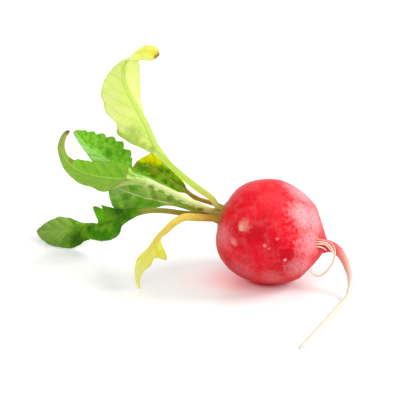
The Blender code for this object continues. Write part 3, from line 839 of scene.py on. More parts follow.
@dataclass(kw_only=True)
class RadishRoot(GrownForm):
    """The globe with its crown, neck and tap root in one skin."""

    name: str = "radish_root"
    node: str = "root"
    slot: str = "radish_skin"
    around: int = 96
    globe_radius: float = 16.05
    crown_flattening: float = 0.95
    crown_radius: float = 4.1
    neck_angle: float = math.radians(136)
    globe_steps: int = 18
    tap_step: float = 2.2
    flat_depth: float = 0.8
    look: SkinFinish = field(default_factory=SkinFinish)
    splits: int = 5

    def rows(self) -> list[tuple[Vector, float]]:
        """The middle line and the radii, from the crown to the root's tip."""
        middle = [CROWN_POINT, GLOBE_CENTRE, NECK_POINT]
        crown_reach = (CROWN_POINT - GLOBE_CENTRE).length
        neck_reach = (NECK_POINT - GLOBE_CENTRE).length
        outward = (CROWN_POINT - GLOBE_CENTRE).normalized()
        rows = [(CROWN_POINT + outward * rise, radius) for rise, radius in CROWN_ROWS]
        rows.append((along(middle, 0.3 / crown_reach), self.crown_radius))
        first = math.asin(self.crown_radius / self.globe_radius) + 0.03
        for ring in range(self.globe_steps + 1):
            angle = first + (self.neck_angle - first) * ring / self.globe_steps
            distance = -self.globe_radius * math.cos(angle)
            if distance < 0:
                place = 1.0 + distance * self.crown_flattening / crown_reach
            else:
                place = 1.0 + distance / neck_reach
            rows.append((along(middle, place), self.globe_radius * math.sin(angle)))
        start = 1.0 - self.globe_radius * math.cos(self.neck_angle) / neck_reach
        for share, radius in NECK_ROWS:
            rows.append((along(middle, start + (2.0 - start) * share), radius))
        return rows + self.tap_rows()

    def tap_rows(self) -> list[tuple[Vector, float]]:
        """The tap root, as a middle line and radii."""
        places = [Vector(place) for place, _ in TAP_ROWS]
        radii = [radius for _, radius in TAP_ROWS]
        rows = []
        for index, (start, end) in enumerate(zip(places, places[1:])):
            parts = max(1, round((end - start).length / self.tap_step))
            for part in range(parts):
                share = index + part / parts
                rows.append((along(places, share), along(radii, share)))
        return rows + [(places[-1], TAP_END_RADIUS)]

    def sections(self) -> list[list[Vector]]:
        """Rings across the middle line, with the skin's lumps and creases."""
        rows = self.rows()
        points, radii = [list(column) for column in zip(*rows)]
        places = [index / self.splits for index in range((len(rows) - 1) * self.splits + 1)]
        line = [along(points, place) for place in places]
        widths = [along(radii, place) for place in places]
        frames = carried_frames(line)
        travelled = distances(line)
        rings, shares = [], []
        for middle, width, sides, distance in zip(line, widths, frames, travelled):
            ring = []
            for turn, out in self.spokes(*sides):
                place = middle + out * width
                place += out * self.relief(place, width, distance, turn)
                ring.append(above_ground(place))
            rings.append(ring)
            shares.append([distance / travelled[-1]] * self.around)
        turns = [abs(spoke / self.around * 2.0 - 1.0) for spoke in range(self.around)]
        self.numbers = {"along": shares, "round": [turns] * len(rings)}
        return rings

    def relief(self, place: Vector, width: float, distance: float, turn: float) -> float:
        """How far the skin stands out of its smooth shape at a point.

        Args:
            place: The point of the smooth shape.
            width: The radius of its cross-section.
            distance: How far along the middle line it is.
            turn: The angle round the middle line.

        Returns:
            The height in millimetres.
        """
        globe = ease(4.5, 10.0, width)
        height = globe * lumps(place, GLOBE_LUMPS)
        height -= self.flat_depth * ease(*FLAT_FADE, (place - FLAT_SHOULDER).length)
        crown = ease(6.5, 1.5, distance)
        creases = math.sin(CROWN_CREASES * turn + 2.0 * rough(place, 4.0))
        height += crown * (0.16 * creases + 0.10 * rough(place, 1.3, 3.0))
        neck = ease(24.0, 31.0, distance) * ease(47.0, 40.0, distance)
        rings = math.sin(math.tau * distance / RING_SPACING + 1.5 * rough(place, 3.0))
        height += neck * 0.05 * rings
        root = ease(34.0, 38.0, distance)
        return height + root * width * lumps(place, TAP_LUMPS)

    def finish(self) -> bpy.types.Material:
        """The red skin."""
        return self.look.material("radish_skin")


@dataclass(kw_only=True)
class SideRoot(GrownForm):
    """A thin root that leaves the neck or the tap root."""

    route: tuple
    thick: float
    thin: float
    node: str = "root"
    slot: str = "radish_skin"
    around: int = 10
    step: float = 0.22
    knots: float = 0.22
    drift: float = 0.12
    tip_start: float = 0.93
    look: HairFinish = field(default_factory=HairFinish)

    def sections(self) -> list[list[Vector]]:
        """Rings across the route, which thin towards the tip and have small knots."""
        points = [Vector(place) for place in self.route]
        count = max(6, round(distances(points)[-1] / self.step))
        last = len(points) - 1
        line = [along(points, last * index / count) for index in range(count + 1)]
        rings, shares = [], []
        for index, (middle, (side, up)) in enumerate(zip(line, carried_frames(line))):
            share = index / count
            width = self.thick + (self.thin - self.thick) * share
            width *= 1.0 + self.knots * rough(middle, 0.9, 4.0)
            beyond = max(0.0, (share - self.tip_start) / (1.0 - self.tip_start))
            width *= math.sqrt(max(0.05, 1.0 - beyond**2))
            drift = side * rough(middle, 2.0, 1.0) + up * rough(middle, 2.0, 6.0)
            middle = middle + drift * self.drift
            spokes = self.spokes(side, up)
            rings.append([above_ground(middle + out * width) for _, out in spokes])
            shares.append([share] * self.around)
        self.numbers = {"along": shares}
        return rings

    def finish(self) -> bpy.types.Material:
        """The pale side-root material, made once."""
        made = bpy.data.materials.get("side_root")
        return made or self.look.material("side_root")


# A leaf's stalk swells up to a share of its length. It is bare where its half width is the
# first number of rib radii or less, and all blade from the second one on. Its groove is as deep
# and as wide as these shares of the rib and of the half
SWELL_END = 0.2
BARE_RATIOS = (1.35, 2.4)
RIB_REACH, NARROW_REACH = 1.15, 0.95
VEIN_SLANT = 0.85
GROOVE_DEPTH, GROOVE_WIDTH = 0.22, 0.35


def rib_cover(rib: float, width: float) -> float:
    """How far from the midrib a rib stands out of a half of a given width."""
    return min(RIB_REACH * rib, NARROW_REACH * width)


@dataclass(kw_only=True)
class Leaf(GrownForm):
    """A leaf with its stalk, midrib, puckered blade and frayed margins in one closed skin."""

    socket: tuple[float, float]
    radii: Triple
    facing: Triple
    stations: list[Station]
    look: LeafFinish
    arch: float = 0.0
    wave: float = 0.0
    wave_length: float = 7.0
    teeth: tuple = ()
    vein_spacing: float = 4.0
    pucker: float = 0.35
    crinkle: float = 0.12
    ruffle: float = 0.25
    fray: float = 0.06
    around: int = 112
    rings: int = 170
    rib_samples: int = 8
    sunk: float = 1.0
    blade_half: float = 0.17
    collar: float = 0.0
    lap: float = 0.0

    def sections(self) -> list[list[Vector]]:
        """Rings of the upper face and back along the lower face."""
        middles, ribs, normals = self.middle_surface()
        rings = []
        for i, row in enumerate(middles):
            upper, lower = [], []
            for j, point in enumerate(row):
                above, below = self.thickness(i, j, ribs[i])
                upper.append(point + normals[i][j] * above)
                lower.append(point - normals[i][j] * below)
            rings.append(upper + lower[-2:0:-1])
        self.spread_marks()
        return [[above_ground(point) for point in ring] for ring in rings]

    def middle_surface(self) -> tuple[list, list, list]:
        """Lays out the leaf's middle surface.

        Returns:
            Its points in rings from the left margin to the right, the rib's radius at each
            ring, and the normals of its upper side.
        """
        facing = Vector(self.facing).normalized() * self.radii[0] * 1.1
        mids = [crown_place(self.socket, rise) for rise in (-self.sunk, 0.6, 2.4)]
        mids += [Vector(station.mid) for station in self.stations]
        lefts = [facing] * 3 + [Vector(station.left) for station in self.stations]
        rights = [-facing] * 3 + [Vector(station.right) for station in self.stations]
        places, total = self.even_places(mids)
        self.grid, rows, ribs, aims = [], [], [], []
        for index, place in enumerate(places):
            share = index / (len(places) - 1)
            rib = self.rib_radius(share)
            mid = along(mids, place)
            ahead = along(mids, place + 0.04) - along(mids, place - 0.04)
            tip = self.tip_share((1.0 - share) * total)
            left = along(lefts, place) * tip * self.margin_scale(Side.LEFT, place, share, total)
            right = along(rights, place) * tip * self.margin_scale(Side.RIGHT, place, share, total)
            aim = (left - right).cross(ahead).normalized()
            mid = mid - aim * self.lap * ease(self.collar - 0.003, self.collar + 0.003, share)
            row, cells = [], []
            for offset, order in ((left, -1), (right, 1)):
                half, numbers = self.half_row(mid, offset, aim, order, rib, share * total)
                row.append(half)
                cells.append(numbers)
            rows.append(row[0][:0:-1] + row[1])
            self.grid.append(cells[0][:0:-1] + cells[1])
            ribs.append(rib)
            aims.append(aim)
        return rows, ribs, self.surface_normals(rows, aims)

    def even_places(self, mids: list[Vector]) -> tuple[list[float], float]:
        """Places on the midrib at even distances, and its length."""
        fine = [index / FINE_STEPS for index in range((len(mids) - 1) * FINE_STEPS + 1)]
        travelled = distances([along(mids, place) for place in fine])
        places, cursor = [], 0
        for index in range(self.rings):
            wanted = travelled[-1] * index / (self.rings - 1)
            while cursor < len(travelled) - 2 and travelled[cursor + 1] < wanted:
                cursor += 1
            step = travelled[cursor + 1] - travelled[cursor]
            part = (wanted - travelled[cursor]) / max(step, 1e-9)
            places.append(fine[cursor] + part / FINE_STEPS)
        return places, travelled[-1]

    def rib_radius(self, share: float) -> float:
        """The rib's radius: it swells over the crown, thins to the tip, steps in at a collar."""
        base, full, tip = self.radii
        if share < SWELL_END:
            return base + (full - base) * math.sin(math.pi / 2 * share / SWELL_END)
        radius = full + (tip - full) * ((share - SWELL_END) / (1.0 - SWELL_END)) ** 0.8
        if self.collar:
            radius *= 1.0 - 0.5 * ease(self.collar, self.collar + 0.04, share)
        return radius

    def tip_share(self, remaining: float) -> float:
        """Rounds the last millimetre of the blade."""
        return math.sqrt(max(0.02, 1.0 - max(0.0, 1.0 - remaining / 0.9) ** 2))

    def margin_scale(self, side: Side, place: float, share: float, total: float) -> float:
        """How much of its width a margin keeps: rounded teeth and a frayed edge."""
        scale = 1.0
        for row in self.teeth:
            if row.side is side and row.first + 1 <= place <= row.last + 1:
                turn = (place - row.first - 1) / (row.last - row.first) * row.count
                scale -= row.depth * (1.0 - abs(math.sin(math.pi * turn)))
        shift = 20.0 if side is Side.LEFT else 60.0
        edge = Vector((share * total, shift, 0.0))
        return scale * (1.0 + self.fray * lumps(edge, WEAR))

    def half_row(
        self, mid: Vector, offset: Vector, aim: Vector, order: int, rib: float, travelled: float
    ) -> tuple[list[Vector], list[tuple]]:
        """Lays out one half of a ring, from the midrib to a margin.

        Args:
            mid: The midrib's point.
            offset: From the midrib to the margin.
            aim: The upper side's direction.
            order: -1 for the left half and 1 for the right half.
            rib: The rib's radius.
            travelled: The distance along the leaf.

        Returns:
            The points, and for each a tuple of its distance from the midrib, the width, the
            share of blade, the signed reach and the vein phase.
        """
        width = offset.length
        bare = 1.0 - ease(*BARE_RATIOS, width / rib)
        steps = self.around // 4
        inner = rib_cover(rib, width)
        phase_shift = 0.5 if order > 0 else 0.0
        points, numbers = [], []
        for k in range(steps + 1):
            rounded = width * math.sin(math.pi / 2 * k / steps)
            if k <= self.rib_samples:
                flat = inner * k / self.rib_samples
            else:
                flat = inner + (width - inner) * (k - self.rib_samples) / (steps - self.rib_samples)
            distance = rounded * bare + flat * (1.0 - bare)
            across = distance / width
            phase = (travelled - VEIN_SLANT * distance) / self.vein_spacing + phase_shift
            ripple = math.sin(math.tau * travelled / self.wave_length + order) * across**2
            lift = self.arch * width * 4 * across * (1 - across)
            lift += self.wave * ripple * min(1.0, width / 4.0)
            place = mid + offset * across
            lift += (1.0 - bare) * self.surface_play(place, across, phase, width, travelled, order)
            points.append(place + aim * lift)
            numbers.append((distance, width, 1.0 - bare, order * across, phase))
        return points, numbers

    def surface_play(
        self, place: Vector, across: float, phase: float, width: float, travelled: float, order: int
    ) -> float:
        """How far puckers, crinkles and the ruffled margin lift the blade at a point."""
        size = min(1.0, width / 4.5)
        swell = ease(0.05, 0.35, across) * (1.0 - 0.6 * ease(0.75, 1.0, across))
        lift = self.pucker * size * swell * (abs(math.sin(math.pi * phase)) ** 0.7 - 0.4)
        lift += self.crinkle * size * ease(0.1, 0.5, across) * rough(place, 1.7, 4.0)
        lift += 2.0 * self.crinkle * size * ease(0.1, 0.6, across) * rough(place, 4.2, 8.0)
        edge = Vector((travelled, 30.0 * order, 0.0))
        return lift + self.ruffle * size * across**3 * rough(edge, 2.4, 2.0) * 2.0

    def surface_normals(self, rows: list, aims: list) -> list:
        """Unit normals of the middle surface, on the leaf's upper side."""
        last_row, last = len(rows) - 1, len(rows[0]) - 1
        normals = []
        for i in range(last_row + 1):
            line = []
            for j in range(last + 1):
                across = rows[i][min(j + 1, last)] - rows[i][max(j - 1, 0)]
                ahead = rows[min(i + 1, last_row)][j] - rows[max(i - 1, 0)][j]
                normal = across.cross(ahead)
                normal = normal.normalized() if normal.length > 1e-9 else aims[i]
                line.append(normal if normal.dot(aims[i]) > 0 else -normal)
            normals.append(line)
        return normals

    def thickness(self, i: int, j: int, rib: float) -> tuple[float, float]:
        """How far the leaf reaches above and below its middle surface at a grid point."""
        distance, width, blade, reach, _ = self.grid[i][j]
        half = width * (1.0 - blade) + rib_cover(rib, width) * blade
        share = math.sqrt(max(0.0, 1.0 - (distance / half) ** 2))
        sheet = self.blade_half * math.sqrt(max(0.0, 1.0 - abs(reach) ** 6)) * blade
        below = math.hypot(sheet, rib * share)
        above = math.hypot(sheet, rib * share * (0.3 + 0.5 * (1.0 - blade)))
        groove = math.exp(-((distance / (GROOVE_WIDTH * half)) ** 2)) * (1.0 - blade)
        return above - GROOVE_DEPTH * rib * groove, below

    def spread_marks(self) -> None:
        """Keeps the numbers that the finish reads, for both faces of each ring."""
        self.numbers = {key: [] for key in ("along", "blade", "phase", "reach", "rib", "upper")}
        for i, row in enumerate(self.grid):
            share = i / (len(self.grid) - 1)
            rib = self.rib_radius(share)
            around = row + row[-2:0:-1]
            self.numbers["along"].append([share] * len(around))
            self.numbers["blade"].append([cell[2] for cell in around])
            self.numbers["reach"].append([cell[3] for cell in around])
            self.numbers["phase"].append([cell[4] for cell in around])
            ribs = [ease(RIB_REACH * rib, 0.5 * rib, cell[0]) for cell in around]
            self.numbers["rib"].append(ribs)
            self.numbers["upper"].append([1.0] * len(row) + [0.0] * (len(around) - len(row)))

    def finish(self) -> bpy.types.Material:
        """The leaf's own finish."""
        return self.look.material(self.name)


def stations(*rows: tuple) -> list[Station]:
    """Reads flat rows of numbers.

    Args:
        rows: For each station its midrib, then how far the left and the right margin stand off
            it. A row of six numbers has its right margin opposite the left one.

    Returns:
        The stations, from the stalk to the tip.
    """
    return [
        Station(row[:3], row[3:6], row[6:] or tuple(-part for part in row[3:6])) for row in rows
    ]


def grown_leaf(kind: str, slot: str, **shape) -> Leaf:
    """A leaf whose piece and node are named for its kind."""
    return Leaf(name=f"leaf_{kind}_blade", node=f"leaf_{kind}", slot=slot, **shape)


TALL_STATIONS = stations(
    (-17.5, 3.7, 25.1, 0.2, -1.2, 0.0),
    (-21.7, 4.9, 27.9, 0.2, -1.3, 0.0),
    (-25.6, 6.0, 30.8, 0.2, -1.4, 0.0),
    (-30.3, 7.0, 35.1, -0.4, -1.3, -0.2, 0.0, 1.4, 0.0),
    (-33.5, 7.8, 39.6, -2.0, -1.0, -1.0, -0.4, 2.4, 0.0),
    (-35.0, 8.1, 42.4, -7.0, -1.0, -0.6, -0.9, 5.0, -0.5),
    (-36.1, 8.3, 45.2, -9.9, -1.0, -0.4, -0.8, 6.8, -0.8),
    (-37.2, 8.4, 47.9, -8.2, -0.4, -0.4, -0.5, 7.5, -0.5),
    (-38.6, 8.4, 50.7, -9.9, 0.2, -0.9, 0.1, 7.8, 0.0),
    (-40.2, 8.3, 53.7, -9.8, 0.8, 0.3, 1.2, 7.8, 0.0),
    (-41.9, 8.0, 57.1, -8.7, 1.4, 0.6, 3.0, 7.4, -0.4),
    (-43.2, 7.6, 60.8, -6.4, 1.6, 0.4, 4.2, 6.8, -0.6),
    (-43.5, 7.0, 64.8, -4.5, 0.8, -0.2, 4.5, 6.0, -0.5),
    (-42.5, 5.4, 68.8, -2.7, -1.6, -0.4, 3.4, 4.8, 0.5),
    (-40.1, 3.0, 71.5, -2.4, -3.2, -0.6, 2.4, 3.8, 1.1),
    (-37.4, 0.4, 73.2, -1.7, -3.2, -1.4, 2.0, 3.0, 1.2),
    (-34.7, -1.9, 73.9, -1.0, -2.2, -1.6, 1.2, 1.9, 1.0),
    (-32.7, -3.3, 73.7, -0.3, -0.8, -0.6, 0.3, 0.7, 0.6),
)

CUPPED_STATIONS = stations(
    (-19.7, 0.1, 23.6, -0.2, 0.5, -1.05),
    (-24.8, -1.2, 26.8, -0.2, 0.5, -1.1),
    (-29.3, -2.0, 29.4, -0.35, 0.45, -1.15),
    (-33.5, -2.8, 31.7, -0.4, 0.5, -1.3, 0.4, -0.4, 1.3),
    (-37.3, -3.6, 33.8, -0.5, 0.8, -1.7, 0.5, -0.2, 1.5),
    (-40.9, -4.5, 35.0, -1.0, 1.0, -2.4, 0.2, 0.4, 1.8),
    (-43.2, -5.2, 35.5, -4.9, 1.4, -4.5, 1.3, 1.8, 2.8),
    (-45.6, -5.8, 35.9, -4.9, 1.4, -4.8, 1.4, 2.4, 4.0),
    (-48.9, -6.9, 36.6, -4.2, 1.4, -3.8, 0.0, 2.5, 4.2),
    (-52.6, -8.0, 37.8, -3.6, 1.3, -3.5, 0.0, 2.4, 3.8),
    (-56.0, -9.0, 39.3, -2.9, 1.2, -2.3, -0.2, 2.2, 3.2),
    (-58.8, -9.8, 41.5, -2.4, 1.0, -1.1, 0.3, 1.8, 1.5),
    (-61.0, -10.2, 44.8, -1.4, 0.9, -0.2, 1.0, 1.4, 0.2),
    (-61.6, -10.2, 48.0, -1.0, 0.8, -0.1, 1.0, 1.0, -0.1),
    (-60.6, -9.8, 50.8, -0.8, 0.6, 0.2, 0.7, 0.6, -0.3),
    (-59.1, -9.1, 52.5, -0.5, 0.4, 0.2, 0.5, 0.4, -0.2),
)

SCALLOPED_STATIONS = stations(
    (-23.8, 5.5, 22.7, 0.2, 1.1, 0.2),
    (-31.4, 6.2, 27.8, 0.2, 1.1, 0.2),
    (-37.6, 5.6, 31.2, 0.3, 1.1, 0.5, -0.3, -1.1, -0.4),
    (-42.2, 5.2, 32.7, 1.0, 1.6, 1.3, -0.3, -1.0, -0.6),
    (-45.6, 4.8, 34.5, 4.0, 3.6, 2.1, -1.9, -2.0, -0.3),
    (-48.6, 4.4, 36.8, 5.6, 4.6, 3.3, -3.2, -2.4, -0.3),
    (-50.9, 3.9, 39.0, 5.3, 5.0, 3.6, -2.9, -2.6, -0.1),
    (-53.1, 3.4, 40.8, 4.4, 4.8, 3.2, -1.9, -2.6, 0.4),
    (-55.1, 2.9, 42.6, 3.4, 4.2, 2.8, -1.1, -2.2, 0.4),
    (-56.6, 2.5, 44.6, 2.1, 3.2, 1.9, -0.6, -1.6, 0.2),
    (-57.7, 2.1, 46.4, 1.0, 1.8, 1.2, -0.4, -1.0, 0.0),
    (-58.6, 1.9, 47.6, 0.4, 0.7, 0.4, -0.2, -0.5, -0.1),
)

CRINKLED_STATIONS = stations(
    (-21.9, 7.9, 23.3, 0.25, -0.2, 0.7),
    (-24.9, 9.8, 24.7, 0.3, -0.2, 0.75, -0.35, 0.2, -0.85),
    (-28.0, 11.8, 26.3, 1.4, -0.4, 1.7, -1.9, -0.2, -2.3),
    (-31.1, 13.4, 28.0, 2.0, -0.6, 2.9, -2.2, -0.6, -3.8),
    (-34.0, 14.6, 29.6, 2.3, -0.6, 4.4, -2.5, -1.0, -4.2),
    (-36.8, 15.2, 30.9, 1.6, -0.4, 4.6, -2.5, -1.2, -3.7),
    (-39.3, 15.4, 31.2, 0.7, -0.2, 2.6, -2.2, -0.8, -2.7),
    (-41.5, 15.5, 30.4, 0.2, 0.0, 1.1, -0.6, -0.2, -1.2),
)

BROAD_STATIONS = stations(
    (-21.3, 6.4, 19.9, 0.2, 0.3, 0.65),
    (-25.5, 7.2, 20.7, 0.2, 0.3, 0.8, -0.2, -0.2, -0.7),
    (-28.9, 8.4, 21.2, 0.1, 0.6, 1.8, -0.2, -0.1, -0.75),
    (-32.3, 9.6, 21.3, -0.3, 0.8, 3.2, 0.0, 0.6, -1.6),
    (-35.4, 10.6, 21.8, -0.7, 1.0, 4.6, -0.4, 1.8, -4.2),
    (-38.2, 11.2, 22.1, -1.0, 1.2, 5.6, -0.4, 2.4, -4.7),
    (-41.0, 11.6, 23.0, -1.2, 1.2, 5.6, -0.4, 3.4, -7.2),
    (-44.1, 11.8, 24.1, -1.0, 1.2, 4.6, -1.1, 4.2, -9.0),
    (-46.5, 11.8, 25.2, -0.8, 1.0, 2.9, -1.7, 4.4, -8.3),
    (-47.9, 11.6, 25.8, -0.6, 0.6, 1.5, -1.3, 2.4, -4.3),
    (-48.8, 11.4, 26.2, -0.1, 0.1, 0.5, -0.3, 0.4, -0.9),
)

LOW_STATIONS = stations(
    (-21.4, 3.4, 19.8, 0.0, 0.35, 0.7),
    (-26.0, 4.3, 19.8, 0.0, 0.35, 0.72),
    (-31.8, 5.5, 20.1, 0.0, 0.3, 0.72),
    (-36.6, 7.2, 19.4, 0.0, 0.3, 0.8),
    (-40.8, 9.4, 17.9, -0.2, 0.5, 1.2, 0.2, -0.5, -1.4),
    (-44.2, 12.2, 15.4, -1.6, 0.8, 1.8, -0.6, -0.8, -2.9),
    (-46.2, 14.2, 13.6, -5.4, 2.0, 3.6, 0.2, -1.0, -4.4),
    (-47.8, 15.8, 12.2, -1.4, 1.4, 2.6, 0.4, -1.2, -5.6),
    (-49.6, 17.6, 10.7, -4.8, 2.2, 4.6, 0.1, -1.2, -5.8),
    (-51.8, 19.4, 9.2, -1.3, 0.6, 0.5, -0.4, -1.4, -5.6),
    (-54.8, 21.8, 7.4, -0.3, 1.0, 0.7, -0.7, -1.8, -3.9),
    (-57.8, 23.4, 6.0, -0.8, 2.6, 0.7, 0.2, -2.3, -3.5),
    (-60.8, 24.6, 5.2, -0.6, 5.2, 0.8, 0.9, -3.6, -4.6),
    (-64.8, 25.2, 4.6, 0.3, 6.4, 1.4, 0.6, -4.8, -4.4),
    (-68.6, 26.2, 3.9, 0.3, 5.2, 1.5, 0.2, -4.0, -3.6),
    (-71.6, 27.6, 3.0, 0.0, 2.8, 0.7, -0.2, -2.4, -1.7),
    (-73.4, 28.8, 2.3, -0.1, 0.6, 0.1, -0.1, -0.6, -0.3),
)

WILTED_STATIONS = stations(
    (-22.6, -1.2, 21.0, -0.15, -0.7, 1.35),
    (-25.8, -2.8, 21.6, -0.35, -0.6, 1.2),
    (-28.6, -4.2, 20.6, -0.7, -0.5, 0.9),
    (-31.4, -4.9, 18.2, -0.8, -0.4, 0.7),
    (-33.7, -5.4, 15.7, -0.9, -0.4, 0.5),
    (-35.3, -5.8, 13.2, -1.0, -0.4, 0.5, 4.4, 1.2, -4.6),
    (-36.6, -6.1, 11.5, -1.7, -0.5, 0.1, 2.1, 1.2, -2.6),
    (-37.6, -6.4, 10.0, -2.4, -0.5, -0.4, 1.8, 1.2, -3.4),
    (-38.9, -6.8, 7.6, -1.9, -0.4, -0.5, 1.3, 1.0, -2.2),
    (-39.7, -7.1, 5.0, -1.0, -0.3, -0.2, 0.9, 0.6, -1.0),
    (-39.8, -7.4, 2.6, -0.7, -0.2, 0.0, 0.6, 0.3, -0.4),
    (-39.4, -7.6, 0.1, -0.4, -0.1, 0.0),
)

TALL_SPOTS = spots(
    (-36.4, 0.0, 73.6, 4.6, 246, 242, 84, 0.75, 0.8),
    (-34.4, -2.4, 73.8, 2.2, 255, 226, 60, 0.8, 0.8),
    (-33.0, -3.6, 73.4, 1.5, 110, 56, 18, 0.95, 0.5),
    (-46.1, 7.1, 45.4, 2.0, 176, 196, 60, 0.85, 0.7),
    (-44.5, 7.0, 43.9, 1.9, 164, 196, 56, 0.85, 0.7),
    (-42.4, 7.2, 43.0, 1.8, 164, 198, 60, 0.85, 0.7),
    (-40.1, 7.3, 42.0, 1.8, 170, 204, 70, 0.85, 0.7),
    (-37.8, 7.2, 40.9, 1.8, 170, 204, 70, 0.85, 0.7),
    (-35.4, 7.1, 39.9, 1.8, 164, 200, 60, 0.85, 0.7),
    (-41.0, 7.4, 44.6, 4.4, 160, 206, 80, 0.8, 0.9),
    # Painted glints: the two near-white spots below
    (-43.0, 8.0, 51.0, 1.3, 255, 255, 236, 0.7, 0.8),
    (-40.2, 7.8, 44.9, 0.7, 255, 255, 240, 0.9, 0.6),
)

CUPPED_SPOTS = spots(
    (-58.8, -9.4, 43.1, 1.3, 150, 96, 40, 0.8, 0.8),
    (-35.6, -3.8, 31.6, 1.7, 120, 154, 40, 0.95, 0.6),
    (-32.8, -3.2, 29.8, 1.7, 130, 144, 30, 0.95, 0.6),
    (-29.8, -2.0, 28.0, 1.7, 120, 134, 24, 0.95, 0.6),
    (-26.8, -1.6, 26.2, 1.7, 110, 114, 24, 0.95, 0.6),
    (-23.9, -0.8, 24.5, 1.7, 120, 110, 20, 0.95, 0.6),
    (-21.0, -1.0, 23.3, 1.7, 130, 104, 20, 0.95, 0.6),
    (-59.1, -9.1, 52.5, 2.4, 120, 78, 36, 0.85, 0.8),
)

SCALLOPED_SPOTS = spots(
    (-48.4, 5.4, 39.0, 2.6, 54, 128, 0, 0.8, 0.9),
    (-50.6, 5.0, 41.6, 1.6, 66, 140, 0, 0.6, 0.9),
)

CRINKLED_SPOTS = spots(
    (-34.0, 14.2, 35.4, 4.8, 255, 250, 0, 1.0, 0.45),
    (-38.2, 14.8, 34.6, 3.6, 255, 248, 0, 1.0, 0.5),
    (-40.7, 15.0, 30.6, 2.6, 206, 190, 60, 0.8, 0.8),
    (-35.4, 14.3, 32.0, 1.4, 226, 206, 10, 0.85, 0.9),
    (-35.2, 14.1, 29.6, 1.2, 206, 180, 30, 0.75, 0.9),
    (-39.4, 14.9, 31.0, 1.8, 70, 176, 30, 0.8, 0.9),
    (-41.5, 15.2, 30.6, 1.3, 226, 196, 50, 0.85, 0.8),
)

BROAD_SPOTS = spots(
    (-37.2, 10.8, 25.0, 3.6, 206, 226, 128, 0.80, 0.7),
    (-33.4, 9.9, 23.6, 2.4, 196, 216, 110, 0.70, 0.7),
    (-30.4, 9.0, 22.4, 1.3, 150, 140, 50, 0.70, 0.6),
    (-46.4, 11.8, 24.6, 2.6, 170, 206, 140, 0.75, 0.9),
    (-43.8, 12.0, 21.6, 2.4, 76, 138, 50, 0.75, 0.9),
    (-39.4, 11.6, 20.2, 3.0, 122, 204, 0, 0.9, 0.8),
    (-34.8, 10.4, 20.4, 2.2, 126, 180, 16, 0.8, 0.8),
    (-35.0, 10.0, 22.6, 1.2, 150, 120, 40, 0.6, 0.9),
)

LOW_SPOTS = spots(
    # Painted light shining through the blade: the bright spot below
    (-52.4, 18.2, 12.4, 3.0, 128, 206, 0, 0.9, 0.7),
    (-46.4, 12.8, 17.0, 3.0, 48, 110, 0, 0.9, 0.7),
    (-68.0, 26.6, 4.6, 9.0, 148, 180, 76, 0.85, 0.5),
    # Painted shade where the tip lobe curls under at its fold: the two dark spots below
    (-60.2, 21.8, 2.8, 5.0, 62, 100, 0, 0.95, 0.9),
    (-56.4, 21.8, 6.4, 1.8, 50, 90, 0, 0.7, 0.9),
)

WILTED_SPOTS = spots(
    (-39.3, -7.4, 3.4, 7.0, 255, 255, 206, 0.9, 0.6),
    (-33.0, -5.7, 11.4, 2.8, 255, 250, 70, 0.8, 0.8),
)


TALL_LOOK = LeafFinish(
    blade=(242, 255, 164), mottled=(252, 255, 216), vein=(216, 242, 128), rib=(206, 236, 108),
    underside=(236, 252, 182), margin=(198, 192, 96), tip=(214, 212, 70), stalk=(190, 220, 92),
    stalk_base=(216, 190, 128), glow=(254, 255, 196), rib_edge=(104, 156, 0),
    rib_edge_strength=0.95, glow_share=0.74, margin_start=0.97, tip_start=0.97, mottle_grain=5.0,
    vein_width=0.12, vein_strength=0.45, rib_strength=0.6, roughness=0.5, marks_and_painted_light=TALL_SPOTS,
)

# The cupped leaf's right half is darkened with painted shade
CUPPED_LOOK = LeafFinish(
    blade=(154, 208, 60), mottled=(186, 226, 112), vein=(196, 226, 124), rib=(176, 212, 96),
    underside=(158, 206, 72), margin=(136, 120, 60), tip=(184, 184, 104), stalk=(240, 250, 178),
    stalk_base=(180, 140, 52), glow=(196, 236, 90), rib_edge=(96, 152, 24),
    rib_edge_strength=0.15, right_half=(112, 172, 24), right_strength=0.75, wing=(214, 230, 140),
    collar=0.537, margin_start=0.975, tip_start=0.80, wing_end=0.43, mottle_grain=2.0,
    vein_strength=0.25, rib_strength=0.25, marks_and_painted_light=CUPPED_SPOTS,
)

SCALLOPED_LOOK = LeafFinish(
    blade=(96, 172, 4), mottled=(152, 214, 66), vein=(168, 216, 94), rib=(190, 226, 150),
    underside=(196, 224, 132), margin=(128, 200, 54), tip=(130, 160, 50), stalk=(196, 210, 96),
    stalk_base=(222, 184, 96), glow=(176, 238, 50), rib_edge=(70, 140, 0),
    right_half=(164, 210, 122), right_strength=0.65, mottle_grain=1.2, mottle_low=0.32,
    mottle_high=0.68, vein_width=0.14, vein_strength=0.3, rib_strength=0.6, wrinkle=0.3,
    marks_and_painted_light=SCALLOPED_SPOTS,
)

CRINKLED_LOOK = LeafFinish(
    blade=(78, 128, 0), mottled=(158, 206, 30), vein=(176, 206, 76), rib=(190, 196, 84),
    underside=(130, 176, 30), margin=(240, 234, 4), tip=(120, 92, 30), stalk=(178, 136, 62),
    stalk_base=(206, 134, 92), glow=(200, 232, 10), rib_edge=(70, 116, 0), rib_edge_strength=0.4,
    base_end=0.46, margin_start=0.84, mottle_grain=2.0, mottle_low=0.34, mottle_high=0.66,
    wrinkle=0.4, vein_strength=0.35, marks_and_painted_light=CRINKLED_SPOTS,
)

